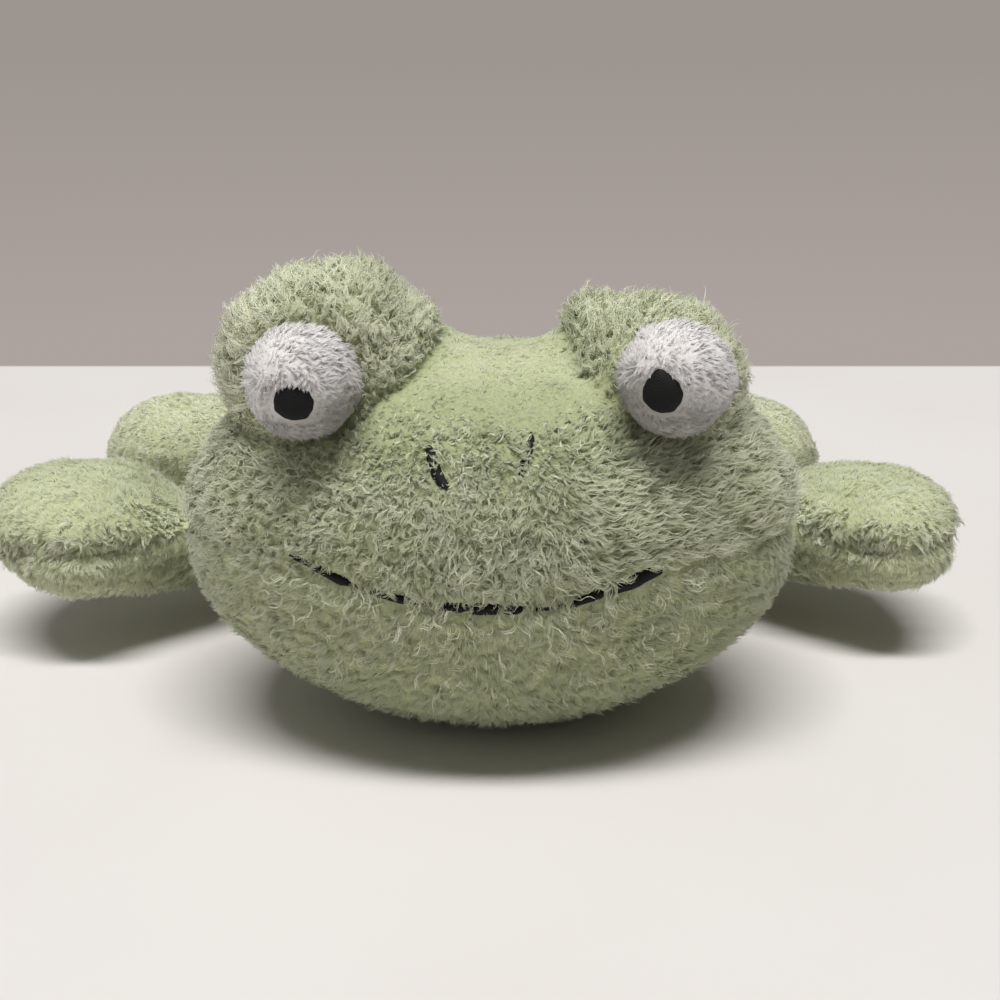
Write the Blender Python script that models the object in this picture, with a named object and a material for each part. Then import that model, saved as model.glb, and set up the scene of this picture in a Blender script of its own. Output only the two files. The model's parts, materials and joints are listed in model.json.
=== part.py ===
# Plush frog lying on its belly: sewn cloth panels over stuffing
# Metres, +Z up. The frog faces -Y. The origin is the middle of the belly's flat, on the table.
# Left and right are those of someone who looks the frog in the face: left is -X.

import math

import bmesh
import bpy
from mathutils import Vector

# Cloth, stuffing and seams
panel_thickness = 0.003
eye_cloth_thickness = 0.0022
clearance = 0.0003
seam_width = 0.0003
resting_flat_depth = 0.0005

# Torso
torso_half_width = 0.046
torso_half_length = 0.065
torso_back_height = 0.0265
torso_belly_depth = 0.0315
# A roundness share of 1 is a true ellipse, and a smaller one is boxier
torso_roundness_share = 0.91

# Head
head_half_width = 0.0605
head_half_depth = 0.0405
head_crown_height = 0.0335
head_chin_depth = 0.0475
head_plan_roundness_share = 0.93
head_crown_roundness_share = 0.83
head_chin_roundness_share = 1.0
neck_radius = 0.022
neck_inset = 0.0055
neck_reach_share = 0.8

# Mouth, nostrils and their satin thread
mouth_half_span = 0.0325
mouth_dip = 0.0063
mouth_shift = 0.0035
mouth_half_height = 0.0012
mouth_end_share = 0.35
thread_height = 0.0009
nostril_half_width = 0.0011
nostril_end_share = 0.45
nostril_left_top = (-0.0104, 0.0217)
nostril_left_bottom = (-0.0076, 0.0153)
nostril_right_top = (0.0071, 0.0238)
nostril_right_bottom = (0.0049, 0.0169)

# Eye hoods, measured from the middle of the head
hood_left_offset = (-0.0325, -0.008, 0.031)
hood_left_radius = 0.0195
hood_right_offset = (0.032, -0.008, 0.027)
hood_right_radius = 0.0165
hood_half_depth = 0.0205

# Eyeballs, measured from the middle of the head
eyeball_radius = 0.0097
eyeball_left_offset = (-0.0335, -0.028, 0.032)
eyeball_right_offset = (0.0328, -0.028, 0.0325)
eyeball_gather_radius = 0.003
pupil_edge_share = 0.5
pupil_left_half_width = 0.0035
pupil_left_half_height = 0.0032
pupil_right_half_width = 0.0039
pupil_right_half_height = 0.0038
pupil_left_turn = math.radians(0)
pupil_left_tilt = math.radians(-9)
pupil_right_turn = math.radians(-22)
pupil_right_tilt = math.radians(-3)

# Arms
arm_left_length = 0.0855
arm_right_length = 0.0805
arm_root_half_width = 0.011
arm_paw_half_width = 0.0205
arm_paw_half_height = 0.0143
arm_swell_length = 0.052
arm_tip_round = 0.021
arm_seat_forward = 0.038
arm_drop = 0.0033
arm_left_turn = math.radians(10)
arm_right_turn = math.radians(8)

# Legs
leg_length = 0.082
leg_root_half_width = 0.013
leg_thigh_half_width = 0.0225
leg_thigh_half_height = 0.02
leg_swell_length = 0.036
leg_foot_half_width = 0.0165
leg_foot_half_height = 0.0125
leg_tip_round = 0.017
leg_seat_back = 0.012
leg_drop = 0.0193
leg_left_turn = math.radians(-35)
leg_right_turn = math.radians(-75)

# Limb roots, pinched flat where they are sewn into the side seam
limb_root_radius = 0.003
limb_stuffing_inset = 0.012
limb_stuffing_round = 0.006

# Faces round and along each form
head_columns = 32
head_rows = 7
torso_columns = 32
torso_rows = 6
hood_columns = 18
hood_rows = 5
eyeball_columns = 16
eyeball_rows = 7
limb_steps = 13
limb_arc_steps = 7
mouth_steps = 22
nostril_steps = 8
pupil_columns = 16
pupil_rows = 3
neck_steps = 16
neck_columns = 36

# Places that follow from the sizes
torso_middle_height = torso_belly_depth - resting_flat_depth
head_forward = torso_half_length + head_half_depth - neck_inset
head_middle = Vector((0, -head_forward, head_chin_depth - resting_flat_depth))
neck_pivot = Vector((0, neck_radius - torso_half_length, torso_middle_height))


class Form:
    # A swelling form with its own height above and below its widest line
    # Its roundness shares shape its outline seen from above, its crown and its base
    def __init__(self, middle, half_width, half_depth, crown, base,
                 plan_share, crown_share, base_share, dip=0.0):
        self.middle = Vector(middle)
        self.half_width = half_width
        self.half_depth = half_depth
        self.crown = crown
        self.base = base
        self.plan_share = plan_share
        self.crown_share = crown_share
        self.base_share = base_share
        self.power = 2 / plan_share
        self.dip = dip

    def grown(self, by):
        return Form(self.middle, self.half_width + by, self.half_depth + by,
                    self.crown + by, self.base + by,
                    self.plan_share, self.crown_share, self.base_share, self.dip)

    def upright(self, up):
        if up > 0:
            return self.crown, 2 / self.crown_share
        return self.base, 2 / self.base_share

    def point(self, turn, latitude):
        across = math.cos(latitude) * math.cos(turn)
        along = math.cos(latitude) * math.sin(turn)
        up = math.sin(latitude)
        height, power = self.upright(up)
        outline = (abs(across) ** self.power + abs(along) ** self.power) ** (1 / self.power)
        reach = (outline ** power + abs(up) ** power) ** (-1 / power)
        return self.middle + reach * Vector((across * self.half_width, along * self.half_depth,
                                             up * height))

    def front_point(self, across, up):
        # The point of the front at a sideways place and a height, both from the middle
        height, power = self.upright(up)
        outline = (1 - abs(up / height) ** power) ** (1 / power)
        rest = outline ** self.power - abs(across / self.half_width) ** self.power
        depth = self.half_depth * max(rest, 0) ** (1 / self.power)
        return self.middle + Vector((across, -depth, up))

    def seam_height(self, across):
        # The front seam drops to the mouth between the mouth's corners
        share = (across + mouth_shift) / mouth_half_span
        return -self.dip * max(0, 1 - share * share)

    def seam_latitude(self, turn):
        if math.sin(turn) > 0:
            return 0.0
        return math.asin(self.seam_height(self.half_width * math.cos(turn)) / self.base)

    def side_at(self, along):
        rest = 1 - abs(along / self.half_depth) ** self.power
        return self.half_width * rest ** (1 / self.power)

    def end_at(self, across):
        rest = 1 - abs(across / self.half_width) ** self.power
        return self.half_depth * rest ** (1 / self.power)

    def side_heading(self, along):
        # The direction in which the widest line faces at that place
        across_slope = self.side_at(along) ** (self.power - 1) / self.half_width ** self.power
        along_slope = abs(along) ** (self.power - 1) / self.half_depth ** self.power
        return math.atan2(math.copysign(along_slope, along), across_slope)


torso_form = Form((0, 0, torso_middle_height), torso_half_width, torso_half_length,
                  torso_back_height, torso_belly_depth,
                  torso_roundness_share, torso_roundness_share, torso_roundness_share)
head_form = Form(head_middle, head_half_width, head_half_depth,
                 head_crown_height, head_chin_depth,
                 head_plan_roundness_share, head_crown_roundness_share,
                 head_chin_roundness_share, mouth_dip)


def clear_scene():
    for thing in list(bpy.data.objects):
        bpy.data.objects.remove(thing, do_unlink=True)


def make_material(name, colour, roughness):
    material = bpy.data.materials.new(name)
    material.use_nodes = True
    surface = material.node_tree.nodes["Principled BSDF"]
    surface.inputs["Base Color"].default_value = (*colour, 1)
    surface.inputs["Roughness"].default_value = roughness
    surface.inputs["Metallic"].default_value = 0
    material.diffuse_color = (*colour, 1)
    return material


def green_plush():
    return make_material("green_plush", (0.42, 0.45, 0.29), 0.95)


def white_plush():
    return make_material("white_plush", (0.78, 0.75, 0.71), 0.95)


def black_satin_thread():
    return make_material("black_satin_thread", (0.012, 0.014, 0.016), 0.45)


def white_stuffing():
    return make_material("white_stuffing", (0.85, 0.85, 0.83), 1.0)


def add_axis(name, place):
    axis = bpy.data.objects.new(name, None)
    axis.location = place
    bpy.context.collection.objects.link(axis)
    return axis


def add_piece(name, solid, material, axis=None):
    # A piece that moves hangs on the empty of its axis, with its own origin there
    bmesh.ops.recalc_face_normals(solid, faces=solid.faces)
    if axis:
        bmesh.ops.translate(solid, vec=-axis.location, verts=solid.verts)
    mesh = bpy.data.meshes.new(name)
    solid.to_mesh(mesh)
    solid.free()
    mesh.shade_smooth()
    mesh.set_sharp_from_angle(angle=math.radians(50))
    mesh.materials.append(material)
    piece = bpy.data.objects.new(name, mesh)
    bpy.context.collection.objects.link(piece)
    piece.parent = axis
    return piece


def add_cutter(name, solid):
    bmesh.ops.recalc_face_normals(solid, faces=solid.faces)
    mesh = bpy.data.meshes.new(name)
    solid.to_mesh(mesh)
    solid.free()
    cutter = bpy.data.objects.new(name, mesh)
    cutter.display_type = "WIRE"
    cutter.hide_render = True
    bpy.context.collection.objects.link(cutter)
    return cutter


def cut(piece, *cutters):
    for cutter in cutters:
        boolean = piece.modifiers.new("cut_by_" + cutter.name, "BOOLEAN")
        boolean.operation = "DIFFERENCE"
        boolean.solver = "EXACT"
        boolean.object = cutter


def add_rings(solid, rings, wrapped=True):
    # Faces between neighbouring rings of points; a ring of one point is a pole
    for near, far in zip(rings, rings[1:]):
        count = max(len(near), len(far))
        for step in range(count if wrapped else count - 1):
            after = (step + 1) % count
            corners = [near[min(step, len(near) - 1)], near[min(after, len(near) - 1)],
                       far[min(after, len(far) - 1)], far[min(step, len(far) - 1)]]
            solid.faces.new(list(dict.fromkeys(corners)))


def surface_rings(solid, point, columns, rows):
    # Rings from the rim, share 0, to the pole, share 1
    rings = []
    for row in range(rows):
        rings.append([solid.verts.new(point(math.tau * column / columns, row / rows))
                      for column in range(columns)])
    rings.append([solid.verts.new(point(0, 1))])
    return rings


def cup(outer_point, inner_point, columns, rows, inner_rows):
    # A bowl with a wall: the outer and inner surfaces share a rim
    solid = bmesh.new()
    outer = surface_rings(solid, outer_point, columns, rows)
    inner = surface_rings(solid, inner_point, columns, inner_rows)
    add_rings(solid, outer)
    add_rings(solid, inner)
    add_rings(solid, [outer[0], inner[0]])
    return solid


def closed_form(point, columns, rows):
    # A closed swelling form between two poles
    solid = bmesh.new()
    rings = [[solid.verts.new(point(0, 0))]]
    for row in range(1, rows):
        rings.append([solid.verts.new(point(math.tau * column / columns, row / rows))
                      for column in range(columns)])
    rings.append([solid.verts.new(point(0, 1))])
    add_rings(solid, rings)
    return solid


def form_solid(form, columns, rows):
    # A whole form whose rings match those of its two panels, so that they lie evenly apart
    def point(turn, share):
        seam = form.seam_latitude(turn)
        if share < 0.5:
            return form.point(turn, -math.pi / 2 + (seam + math.pi / 2) * share * 2)
        return form.point(turn, seam + (math.pi / 2 - seam) * (share * 2 - 1))
    return closed_form(point, columns, 2 * rows)


def panel(form, side, columns, rows):
    # The upper panel has side 1 and the lower has side -1; the seam parts them
    def surface(shape):
        def point(turn, share):
            start = shape.seam_latitude(turn)
            latitude = start + (side * math.pi / 2 - start) * share
            return shape.point(turn, latitude) + Vector((0, 0, side * seam_width / 2))
        return point
    return cup(surface(form), surface(form.grown(-panel_thickness)), columns, rows, rows)


def cut_flat_at_table(solid):
    cut_edges = bmesh.ops.bisect_plane(solid, geom=solid.verts[:] + solid.edges[:] + solid.faces[:],
                                       plane_co=(0, 0, 0), plane_no=(0, 0, -1), clear_outer=True)
    rim = [part for part in cut_edges["geom_cut"] if isinstance(part, bmesh.types.BMEdge)]
    bmesh.ops.contextual_create(solid, geom=rim)
    return solid


def neck_solid():
    # The torso's nose turned about the neck's axis, with clearance: the room that the nod takes
    solid = bmesh.new()
    reach = torso_half_width * neck_reach_share
    rings = []
    for step in range(neck_steps + 1):
        across = reach * (2 * step / neck_steps - 1)
        radius = max(torso_form.end_at(across) + neck_pivot.y, 0) + clearance
        ring = []
        for column in range(neck_columns):
            turn = math.tau * column / neck_columns
            ring.append(solid.verts.new(neck_pivot + Vector((across, radius * math.cos(turn),
                                                             radius * math.sin(turn)))))
        rings.append(ring)
    add_rings(solid, rings)
    solid.faces.new(rings[0])
    solid.faces.new(rings[-1])
    return solid


def ball_solid(middle, radius):
    def point(turn, share):
        polar = math.pi * share
        return middle + radius * Vector((math.sin(polar) * math.cos(turn), -math.cos(polar),
                                         math.sin(polar) * math.sin(turn)))
    return closed_form(point, eyeball_columns, eyeball_rows)


def gathered_ball(point):
    # The ball's rings from its front pole to the opening, closed there by a flat
    solid = bmesh.new()
    rings = surface_rings(solid, point, eyeball_columns, eyeball_rows)
    add_rings(solid, rings)
    solid.faces.new(rings[0])
    return solid


def build_torso(plush, stuffing):
    back = panel(torso_form, 1, torso_columns, torso_rows)
    add_piece("torso_back_panel", back, plush)
    belly = panel(torso_form, -1, torso_columns, torso_rows)
    add_piece("torso_belly_panel", cut_flat_at_table(belly), plush)
    filling = form_solid(torso_form.grown(-panel_thickness - clearance), torso_columns, torso_rows)
    add_piece("torso_filling", filling, stuffing)


def build_head(plush, stuffing, neck_axis):
    neck_room = add_cutter("neck_room", neck_solid())
    top = add_piece("head_top_panel", panel(head_form, 1, head_columns, head_rows), plush, neck_axis)
    chin = panel(head_form, -1, head_columns, head_rows)
    chin = add_piece("head_chin_panel", cut_flat_at_table(chin), plush, neck_axis)
    filling = form_solid(head_form.grown(-panel_thickness - clearance), head_columns, head_rows)
    filling = add_piece("head_filling", filling, stuffing, neck_axis)
    for piece in (top, chin, filling):
        cut(piece, neck_room)


def build_hood(side_name, offset, radius, eyeball_offset, plush, stuffing, neck_axis, head_room):
    # A domed hood sewn on the head, with a socket that the eyeball sits in
    form = Form(head_middle + Vector(offset), radius, hood_half_depth, radius, radius, 1, 1, 1)
    inner = form.grown(-panel_thickness)
    cover = form_solid(form, hood_columns, hood_rows)
    cover = add_piece("eye_hood_" + side_name, cover, plush, neck_axis)
    hollow = add_cutter("hood_hollow_" + side_name, form_solid(inner, hood_columns, hood_rows))
    socket = ball_solid(head_middle + Vector(eyeball_offset), eyeball_radius + clearance)
    socket = add_cutter("eye_socket_" + side_name, socket)
    cut(cover, hollow, head_room, socket)
    filling = form_solid(inner.grown(-clearance), hood_columns, hood_rows)
    filling = add_piece("hood_filling_" + side_name, filling, stuffing, neck_axis)
    cut(filling, head_room, socket)


def build_eyeball(side_name, offset, white, stuffing, neck_axis, head_room):
    # A white cloth ball gathered round an opening at its back, pressed flat where it meets the head
    middle = head_middle + Vector(offset)
    widest = math.pi - math.asin(eyeball_gather_radius / eyeball_radius)

    def surface(radius):
        def point(turn, share):
            polar = widest * (1 - share)
            return middle + radius * Vector((math.sin(polar) * math.cos(turn), -math.cos(polar),
                                             math.sin(polar) * math.sin(turn)))
        return point

    cover = cup(surface(eyeball_radius), surface(eyeball_radius - eye_cloth_thickness),
                eyeball_columns, eyeball_rows, eyeball_rows)
    cover = add_piece("eyeball_" + side_name, cover, white, neck_axis)
    filling = gathered_ball(surface(eyeball_radius - eye_cloth_thickness - clearance))
    filling = add_piece("eyeball_filling_" + side_name, filling, stuffing, neck_axis)
    cut(cover, head_room)
    cut(filling, head_room)


def build_pupil(side_name, offset, half_width, half_height, turn_angle, tilt_angle, thread,
                neck_axis):
    # A satin patch that follows the eyeball, thinner at its edge
    middle = head_middle + Vector(offset)
    facing = Vector((math.sin(turn_angle) * math.cos(tilt_angle),
                     -math.cos(turn_angle) * math.cos(tilt_angle), math.sin(tilt_angle)))
    across = facing.cross(Vector((0, 0, 1))).normalized()
    upward = across.cross(facing)

    def surface(radius, crown):
        def point(turn, share):
            reach = 1 - share
            direction = (facing + across * (reach * math.cos(turn) * half_width / radius)
                         + upward * (reach * math.sin(turn) * half_height / radius))
            height = radius + crown * (pupil_edge_share + (1 - pupil_edge_share) * share)
            return middle + height * direction.normalized()
        return point

    seat = eyeball_radius + clearance
    patch = cup(surface(seat, thread_height), surface(seat, 0), pupil_columns, pupil_rows,
                pupil_rows - 1)
    add_piece("pupil_" + side_name, patch, thread, neck_axis)


def stitched_band(path, half_height_at, steps):
    # A band of satin stitches laid on the front of the head along a path of shares 0 to 1
    solid = bmesh.new()
    seat = head_form.grown(clearance)
    crown = head_form.grown(clearance + thread_height)
    edge = head_form.grown(clearance + thread_height / 2)
    rings = []
    for step in range(steps + 1):
        share = step / steps
        here = path(share)
        ahead = path(share + 1 / steps) - path(share - 1 / steps)
        square = Vector((-ahead.y, ahead.x)).normalized() * half_height_at(share)
        ring = []
        for surface, place in ((seat, -1), (edge, -1), (crown, 0), (edge, 1), (seat, 1)):
            spot = here + square * place
            ring.append(solid.verts.new(surface.front_point(spot.x, spot.y)))
        rings.append(ring)
    add_rings(solid, rings)
    solid.faces.new(rings[0])
    solid.faces.new(rings[-1])
    return solid


def stitch_swell(share, end_share):
    # A stitched band is narrower at both ends
    return end_share + (1 - end_share) * math.sqrt(math.sin(math.pi * share))


def build_mouth(thread, neck_axis):
    def path(share):
        across = mouth_half_span * (2 * share - 1) - mouth_shift
        return Vector((across, head_form.seam_height(across)))

    def half_height_at(share):
        return mouth_half_height * stitch_swell(share, mouth_end_share)

    band = stitched_band(path, half_height_at, mouth_steps)
    add_piece("mouth_embroidery", band, thread, neck_axis)


def build_nostril(side_name, top, bottom, thread, neck_axis):
    top = Vector(top)
    bottom = Vector(bottom)

    def path(share):
        return bottom.lerp(top, share)

    def half_width_at(share):
        return nostril_half_width * stitch_swell(share, nostril_end_share)

    band = stitched_band(path, half_width_at, nostril_steps)
    add_piece("nostril_" + side_name, band, thread, neck_axis)


def smooth(share):
    share = min(max(share, 0), 1)
    return share * share * (3 - 2 * share)


def rounding(place, start, end, start_round, end_round):
    # 1 along the limb, falling as a quarter circle to 0 at both ends
    share = 1.0
    if place < start + start_round:
        share *= math.sqrt(max(0, 1 - ((start + start_round - place) / start_round) ** 2))
    if place > end - end_round:
        share *= math.sqrt(max(0, 1 - ((place - end + end_round) / end_round) ** 2))
    return share


class Limb:
    # A limb runs out from the torso's side seam along an arc, swelling from a pinched root
    def __init__(self, side, seat, length, turn, drop, tip_round, half_width_at, half_height_at):
        self.side = side
        self.length = length
        self.turn = turn
        self.drop = drop
        self.tip_round = tip_round
        self.half_width_at = half_width_at
        self.half_height_at = half_height_at
        self.heading = torso_form.side_heading(seat)
        outward = Vector((math.cos(self.heading), math.sin(self.heading), 0))
        foot = Vector((torso_form.side_at(seat), seat, torso_middle_height))
        self.start = foot + outward * clearance
        self.hinge = self.mirrored(self.start + outward * limb_root_radius)

    def mirrored(self, place):
        return Vector((self.side * place.x, place.y, place.z))

    def heading_at(self, place):
        return self.heading + self.turn * place / self.length

    def middle_at(self, place):
        radius = self.length / self.turn
        heading = self.heading_at(place)
        across = radius * (math.sin(heading) - math.sin(self.heading))
        along = radius * (math.cos(self.heading) - math.cos(heading))
        fall = self.drop * smooth(place / self.length)
        return self.start + Vector((across, along, -fall))

    def spaced_places(self, start, end):
        # Closer together towards both rounded ends
        return [start + (end - start) * (1 - math.cos(math.pi * step / limb_steps)) / 2
                for step in range(limb_steps + 1)]

    def section_sizes(self, place, inset):
        if inset == 0:
            fade = rounding(place, 0, self.length, limb_root_radius, self.tip_round)
        else:
            fade = rounding(place, limb_stuffing_inset + inset - panel_thickness,
                            self.length - inset, limb_stuffing_round, self.tip_round - inset)
        width = (self.half_width_at(place) - inset) * fade
        height = (self.half_height_at(place) - inset) * fade
        return width, height

    def section_point(self, place, inset, angle):
        width, height = self.section_sizes(place, inset)
        heading = self.heading_at(place)
        sideways = Vector((-math.sin(heading), math.cos(heading), 0))
        spot = self.middle_at(place) + sideways * (width * math.cos(angle))
        return self.mirrored(spot + Vector((0, 0, height * math.sin(angle))))

    def half_surface(self, solid, upper, inset):
        # One half of the limb's surface, above or below its seam, between its two end points
        shift = Vector((0, 0, upper * seam_width / 2))
        if inset == 0:
            places = self.spaced_places(0, self.length)
        else:
            places = self.spaced_places(limb_stuffing_inset + inset - panel_thickness,
                                        self.length - inset)
        rings = [[solid.verts.new(self.section_point(places[0], inset, 0) + shift)]]
        for place in places[1:-1]:
            rings.append([solid.verts.new(
                self.section_point(place, inset, upper * math.pi * step / limb_arc_steps) + shift)
                for step in range(limb_arc_steps + 1)])
        rings.append([solid.verts.new(self.section_point(places[-1], inset, 0) + shift)])
        add_rings(solid, rings, wrapped=False)
        return rings

    def panel(self, upper):
        solid = bmesh.new()
        outer = self.half_surface(solid, upper, 0)
        inner = self.half_surface(solid, upper, panel_thickness)
        for edge in (0, -1):
            add_rings(solid, [[ring[edge] for ring in outer], [ring[edge] for ring in inner]],
                      wrapped=False)
        return solid

    def filling(self):
        inset = panel_thickness + clearance
        start = limb_stuffing_inset + clearance
        end = self.length - inset

        def point(turn, share):
            place = start + (end - start) * (1 - math.cos(math.pi * share)) / 2
            return self.section_point(place, inset, turn)
        return closed_form(point, limb_arc_steps * 2, limb_steps)


def build_limb(name, limb, plush, stuffing):
    axis = add_axis(name + "_axis", limb.hinge)
    add_piece(name + "_top_panel", limb.panel(1), plush, axis)
    add_piece(name + "_bottom_panel", limb.panel(-1), plush, axis)
    add_piece(name + "_filling", limb.filling(), stuffing, axis)


def arm(side, length, turn):
    def half_width_at(place):
        swell = smooth(place / arm_swell_length)
        return arm_root_half_width + (arm_paw_half_width - arm_root_half_width) * swell

    def half_height_at(place):
        swell = smooth(place / arm_swell_length)
        return limb_root_radius + (arm_paw_half_height - limb_root_radius) * swell

    return Limb(side, -arm_seat_forward, length, -turn, arm_drop, arm_tip_round,
                half_width_at, half_height_at)


def leg(side, turn):
    def narrowing(place):
        return smooth((place - leg_swell_length) / (leg_length - leg_swell_length - leg_tip_round))

    def half_width_at(place):
        swell = smooth(place / leg_swell_length)
        thigh = leg_root_half_width + (leg_thigh_half_width - leg_root_half_width) * swell
        return thigh - (leg_thigh_half_width - leg_foot_half_width) * narrowing(place)

    def half_height_at(place):
        swell = smooth(place / leg_swell_length)
        thigh = limb_root_radius + (leg_thigh_half_height - limb_root_radius) * swell
        return thigh - (leg_thigh_half_height - leg_foot_half_height) * narrowing(place)

    return Limb(side, leg_seat_back, leg_length, -turn, leg_drop, leg_tip_round,
                half_width_at, half_height_at)


def build_frog():
    clear_scene()
    plush = green_plush()
    white = white_plush()
    thread = black_satin_thread()
    stuffing = white_stuffing()

    build_torso(plush, stuffing)

    neck_axis = add_axis("neck_axis", neck_pivot)
    build_head(plush, stuffing, neck_axis)
    head_room = form_solid(head_form.grown(clearance), head_columns, head_rows)
    head_room = add_cutter("head_room", head_room)
    build_hood("left", hood_left_offset, hood_left_radius, eyeball_left_offset,
               plush, stuffing, neck_axis, head_room)
    build_hood("right", hood_right_offset, hood_right_radius, eyeball_right_offset,
               plush, stuffing, neck_axis, head_room)
    for side_name, offset in (("left", eyeball_left_offset), ("right", eyeball_right_offset)):
        build_eyeball(side_name, offset, white, stuffing, neck_axis, head_room)
    build_pupil("left", eyeball_left_offset, pupil_left_half_width, pupil_left_half_height,
                pupil_left_turn, pupil_left_tilt, thread, neck_axis)
    build_pupil("right", eyeball_right_offset, pupil_right_half_width, pupil_right_half_height,
                pupil_right_turn, pupil_right_tilt, thread, neck_axis)
    build_mouth(thread, neck_axis)
    build_nostril("left", nostril_left_top, nostril_left_bottom, thread, neck_axis)
    build_nostril("right", nostril_right_top, nostril_right_bottom, thread, neck_axis)

    build_limb("arm_left", arm(-1, arm_left_length, arm_left_turn), plush, stuffing)
    build_limb("arm_right", arm(1, arm_right_length, arm_right_turn), plush, stuffing)
    build_limb("leg_left", leg(-1, leg_left_turn), plush, stuffing)
    build_limb("leg_right", leg(1, leg_right_turn), plush, stuffing)


build_frog()
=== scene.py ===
# Plush frog lying on its belly: stuffed cloth skins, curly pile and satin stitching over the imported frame
# Metres, +Z up, as packed. The frog faces -Y, and left is -X, as for someone who looks it in the face.
import json
import math
import bmesh
import bpy
import numpy as np
from mathutils import Matrix, Vector
from mathutils.bvhtree import BVHTree

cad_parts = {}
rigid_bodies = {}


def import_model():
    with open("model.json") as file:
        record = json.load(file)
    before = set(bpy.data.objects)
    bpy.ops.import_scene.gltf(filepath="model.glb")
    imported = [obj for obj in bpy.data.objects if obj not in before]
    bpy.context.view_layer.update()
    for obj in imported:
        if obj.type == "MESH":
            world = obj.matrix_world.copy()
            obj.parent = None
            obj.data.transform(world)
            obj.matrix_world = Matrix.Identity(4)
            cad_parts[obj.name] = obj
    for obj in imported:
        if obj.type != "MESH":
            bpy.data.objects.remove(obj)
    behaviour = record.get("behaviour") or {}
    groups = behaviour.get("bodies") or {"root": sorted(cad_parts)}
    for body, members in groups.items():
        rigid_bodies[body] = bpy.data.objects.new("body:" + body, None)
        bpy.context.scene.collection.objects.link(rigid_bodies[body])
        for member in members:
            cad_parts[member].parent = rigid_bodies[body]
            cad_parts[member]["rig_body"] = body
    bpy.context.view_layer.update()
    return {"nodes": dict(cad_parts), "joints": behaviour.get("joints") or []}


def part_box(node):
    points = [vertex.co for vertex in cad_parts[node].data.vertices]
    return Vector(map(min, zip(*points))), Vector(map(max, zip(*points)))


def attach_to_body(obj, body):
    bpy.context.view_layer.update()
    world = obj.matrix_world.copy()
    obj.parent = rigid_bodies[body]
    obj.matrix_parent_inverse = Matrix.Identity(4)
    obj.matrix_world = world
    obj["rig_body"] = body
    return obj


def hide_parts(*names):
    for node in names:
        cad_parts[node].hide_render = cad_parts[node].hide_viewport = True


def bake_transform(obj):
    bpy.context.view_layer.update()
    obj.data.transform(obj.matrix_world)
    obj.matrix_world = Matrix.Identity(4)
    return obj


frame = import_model()
scene = bpy.context.scene
mm = 0.001

# The camera stands where the photograph was taken from
cameraValues = {
    "place": (0.0016, -0.321, 0.1215),
    "pitch": 18.45,
    "lens": 39.85,
    "sensor": 36.0,
}


def placeCamera(values):
    data = bpy.data.cameras.new("photoCamera")
    data.lens = values["lens"]
    data.sensor_width = values["sensor"]
    data.clip_start = 0.01
    camera = bpy.data.objects.new("photoCamera", data)
    scene.collection.objects.link(camera)
    camera.location = values["place"]
    camera.rotation_euler = (math.radians(90 - values["pitch"]), 0, 0)
    scene.camera = camera


placeCamera(cameraValues)
print("camera placed")


def linear(hexColour):
    # an sRGB hex colour as the linear RGBA that a socket takes
    parts = [int(hexColour[i:i + 2], 16) / 255 for i in (1, 3, 5)]
    return [c / 12.92 if c <= 0.04045 else ((c + 0.055) / 1.055) ** 2.4 for c in parts] + [1.0]


def addNode(tree, kind, values=None, links=None, **settings):
    # values sets input sockets, links joins them to other nodes' outputs, settings sets the node's own fields
    node = tree.nodes.new(kind)
    for name, value in settings.items():
        setattr(node, name, value)
    for name, value in (values or {}).items():
        node.inputs[name].default_value = value
    for name, output in (links or {}).items():
        tree.links.new(output, node.inputs[name])
    return node


def newMaterial(name, roughness, sheen=0.0, specular=0.5):
    material = bpy.data.materials.new(name)
    material.use_nodes = True
    tree = material.node_tree
    surface = tree.nodes["Principled BSDF"]
    surface.inputs["Roughness"].default_value = roughness
    surface.inputs["Specular IOR Level"].default_value = specular
    surface.inputs["Sheen Weight"].default_value = sheen
    surface.inputs["Sheen Roughness"].default_value = 0.5
    return material, tree, surface


def rampOf(tree, factor, stops):
    ramp = addNode(tree, "ShaderNodeValToRGB", links={"Fac": factor})
    elements = ramp.color_ramp.elements
    while len(elements) < len(stops):
        elements.new(0.5)
    for element, (place, colour) in zip(elements, stops):
        element.position = place
        element.color = linear(colour)
    return ramp.outputs["Color"]


def mixColours(tree, factor, first, second):
    # each of the two is an output socket or a hex colour
    mix = addNode(tree, "ShaderNodeMix", data_type="RGBA")
    tree.links.new(factor, mix.inputs["Factor"])
    for socket, colour in ((mix.inputs[6], first), (mix.inputs[7], second)):
        if isinstance(colour, str):
            socket.default_value = linear(colour)
        else:
            tree.links.new(colour, socket)
    return mix.outputs[2]


def mathOf(tree, operation, first, second):
    node = addNode(tree, "ShaderNodeMath", operation=operation)
    tree.links.new(first, node.inputs[0])
    tree.links.new(second, node.inputs[1])
    return node.outputs["Value"]


def mapped(tree, value, **limits):
    # fromMin, fromMax, toMin and toMax, each 0 or 1 where it isn't given
    names = {"fromMin": "From Min", "fromMax": "From Max", "toMin": "To Min", "toMax": "To Max"}
    node = addNode(tree, "ShaderNodeMapRange", {names[key]: limits[key] for key in limits}, {"Value": value})
    return node.outputs["Result"]


def attributeOf(tree, name):
    return addNode(tree, "ShaderNodeAttribute", attribute_name=name).outputs["Fac"]


def placeOf(tree):
    return addNode(tree, "ShaderNodeTexCoord").outputs["Object"]


def noiseOf(tree, size, detail):
    # a noise whose hills are about size metres apart
    return addNode(tree, "ShaderNodeTexNoise", {"Scale": 1 / size, "Detail": detail},
                   {"Vector": placeOf(tree)}).outputs["Fac"]


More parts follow.
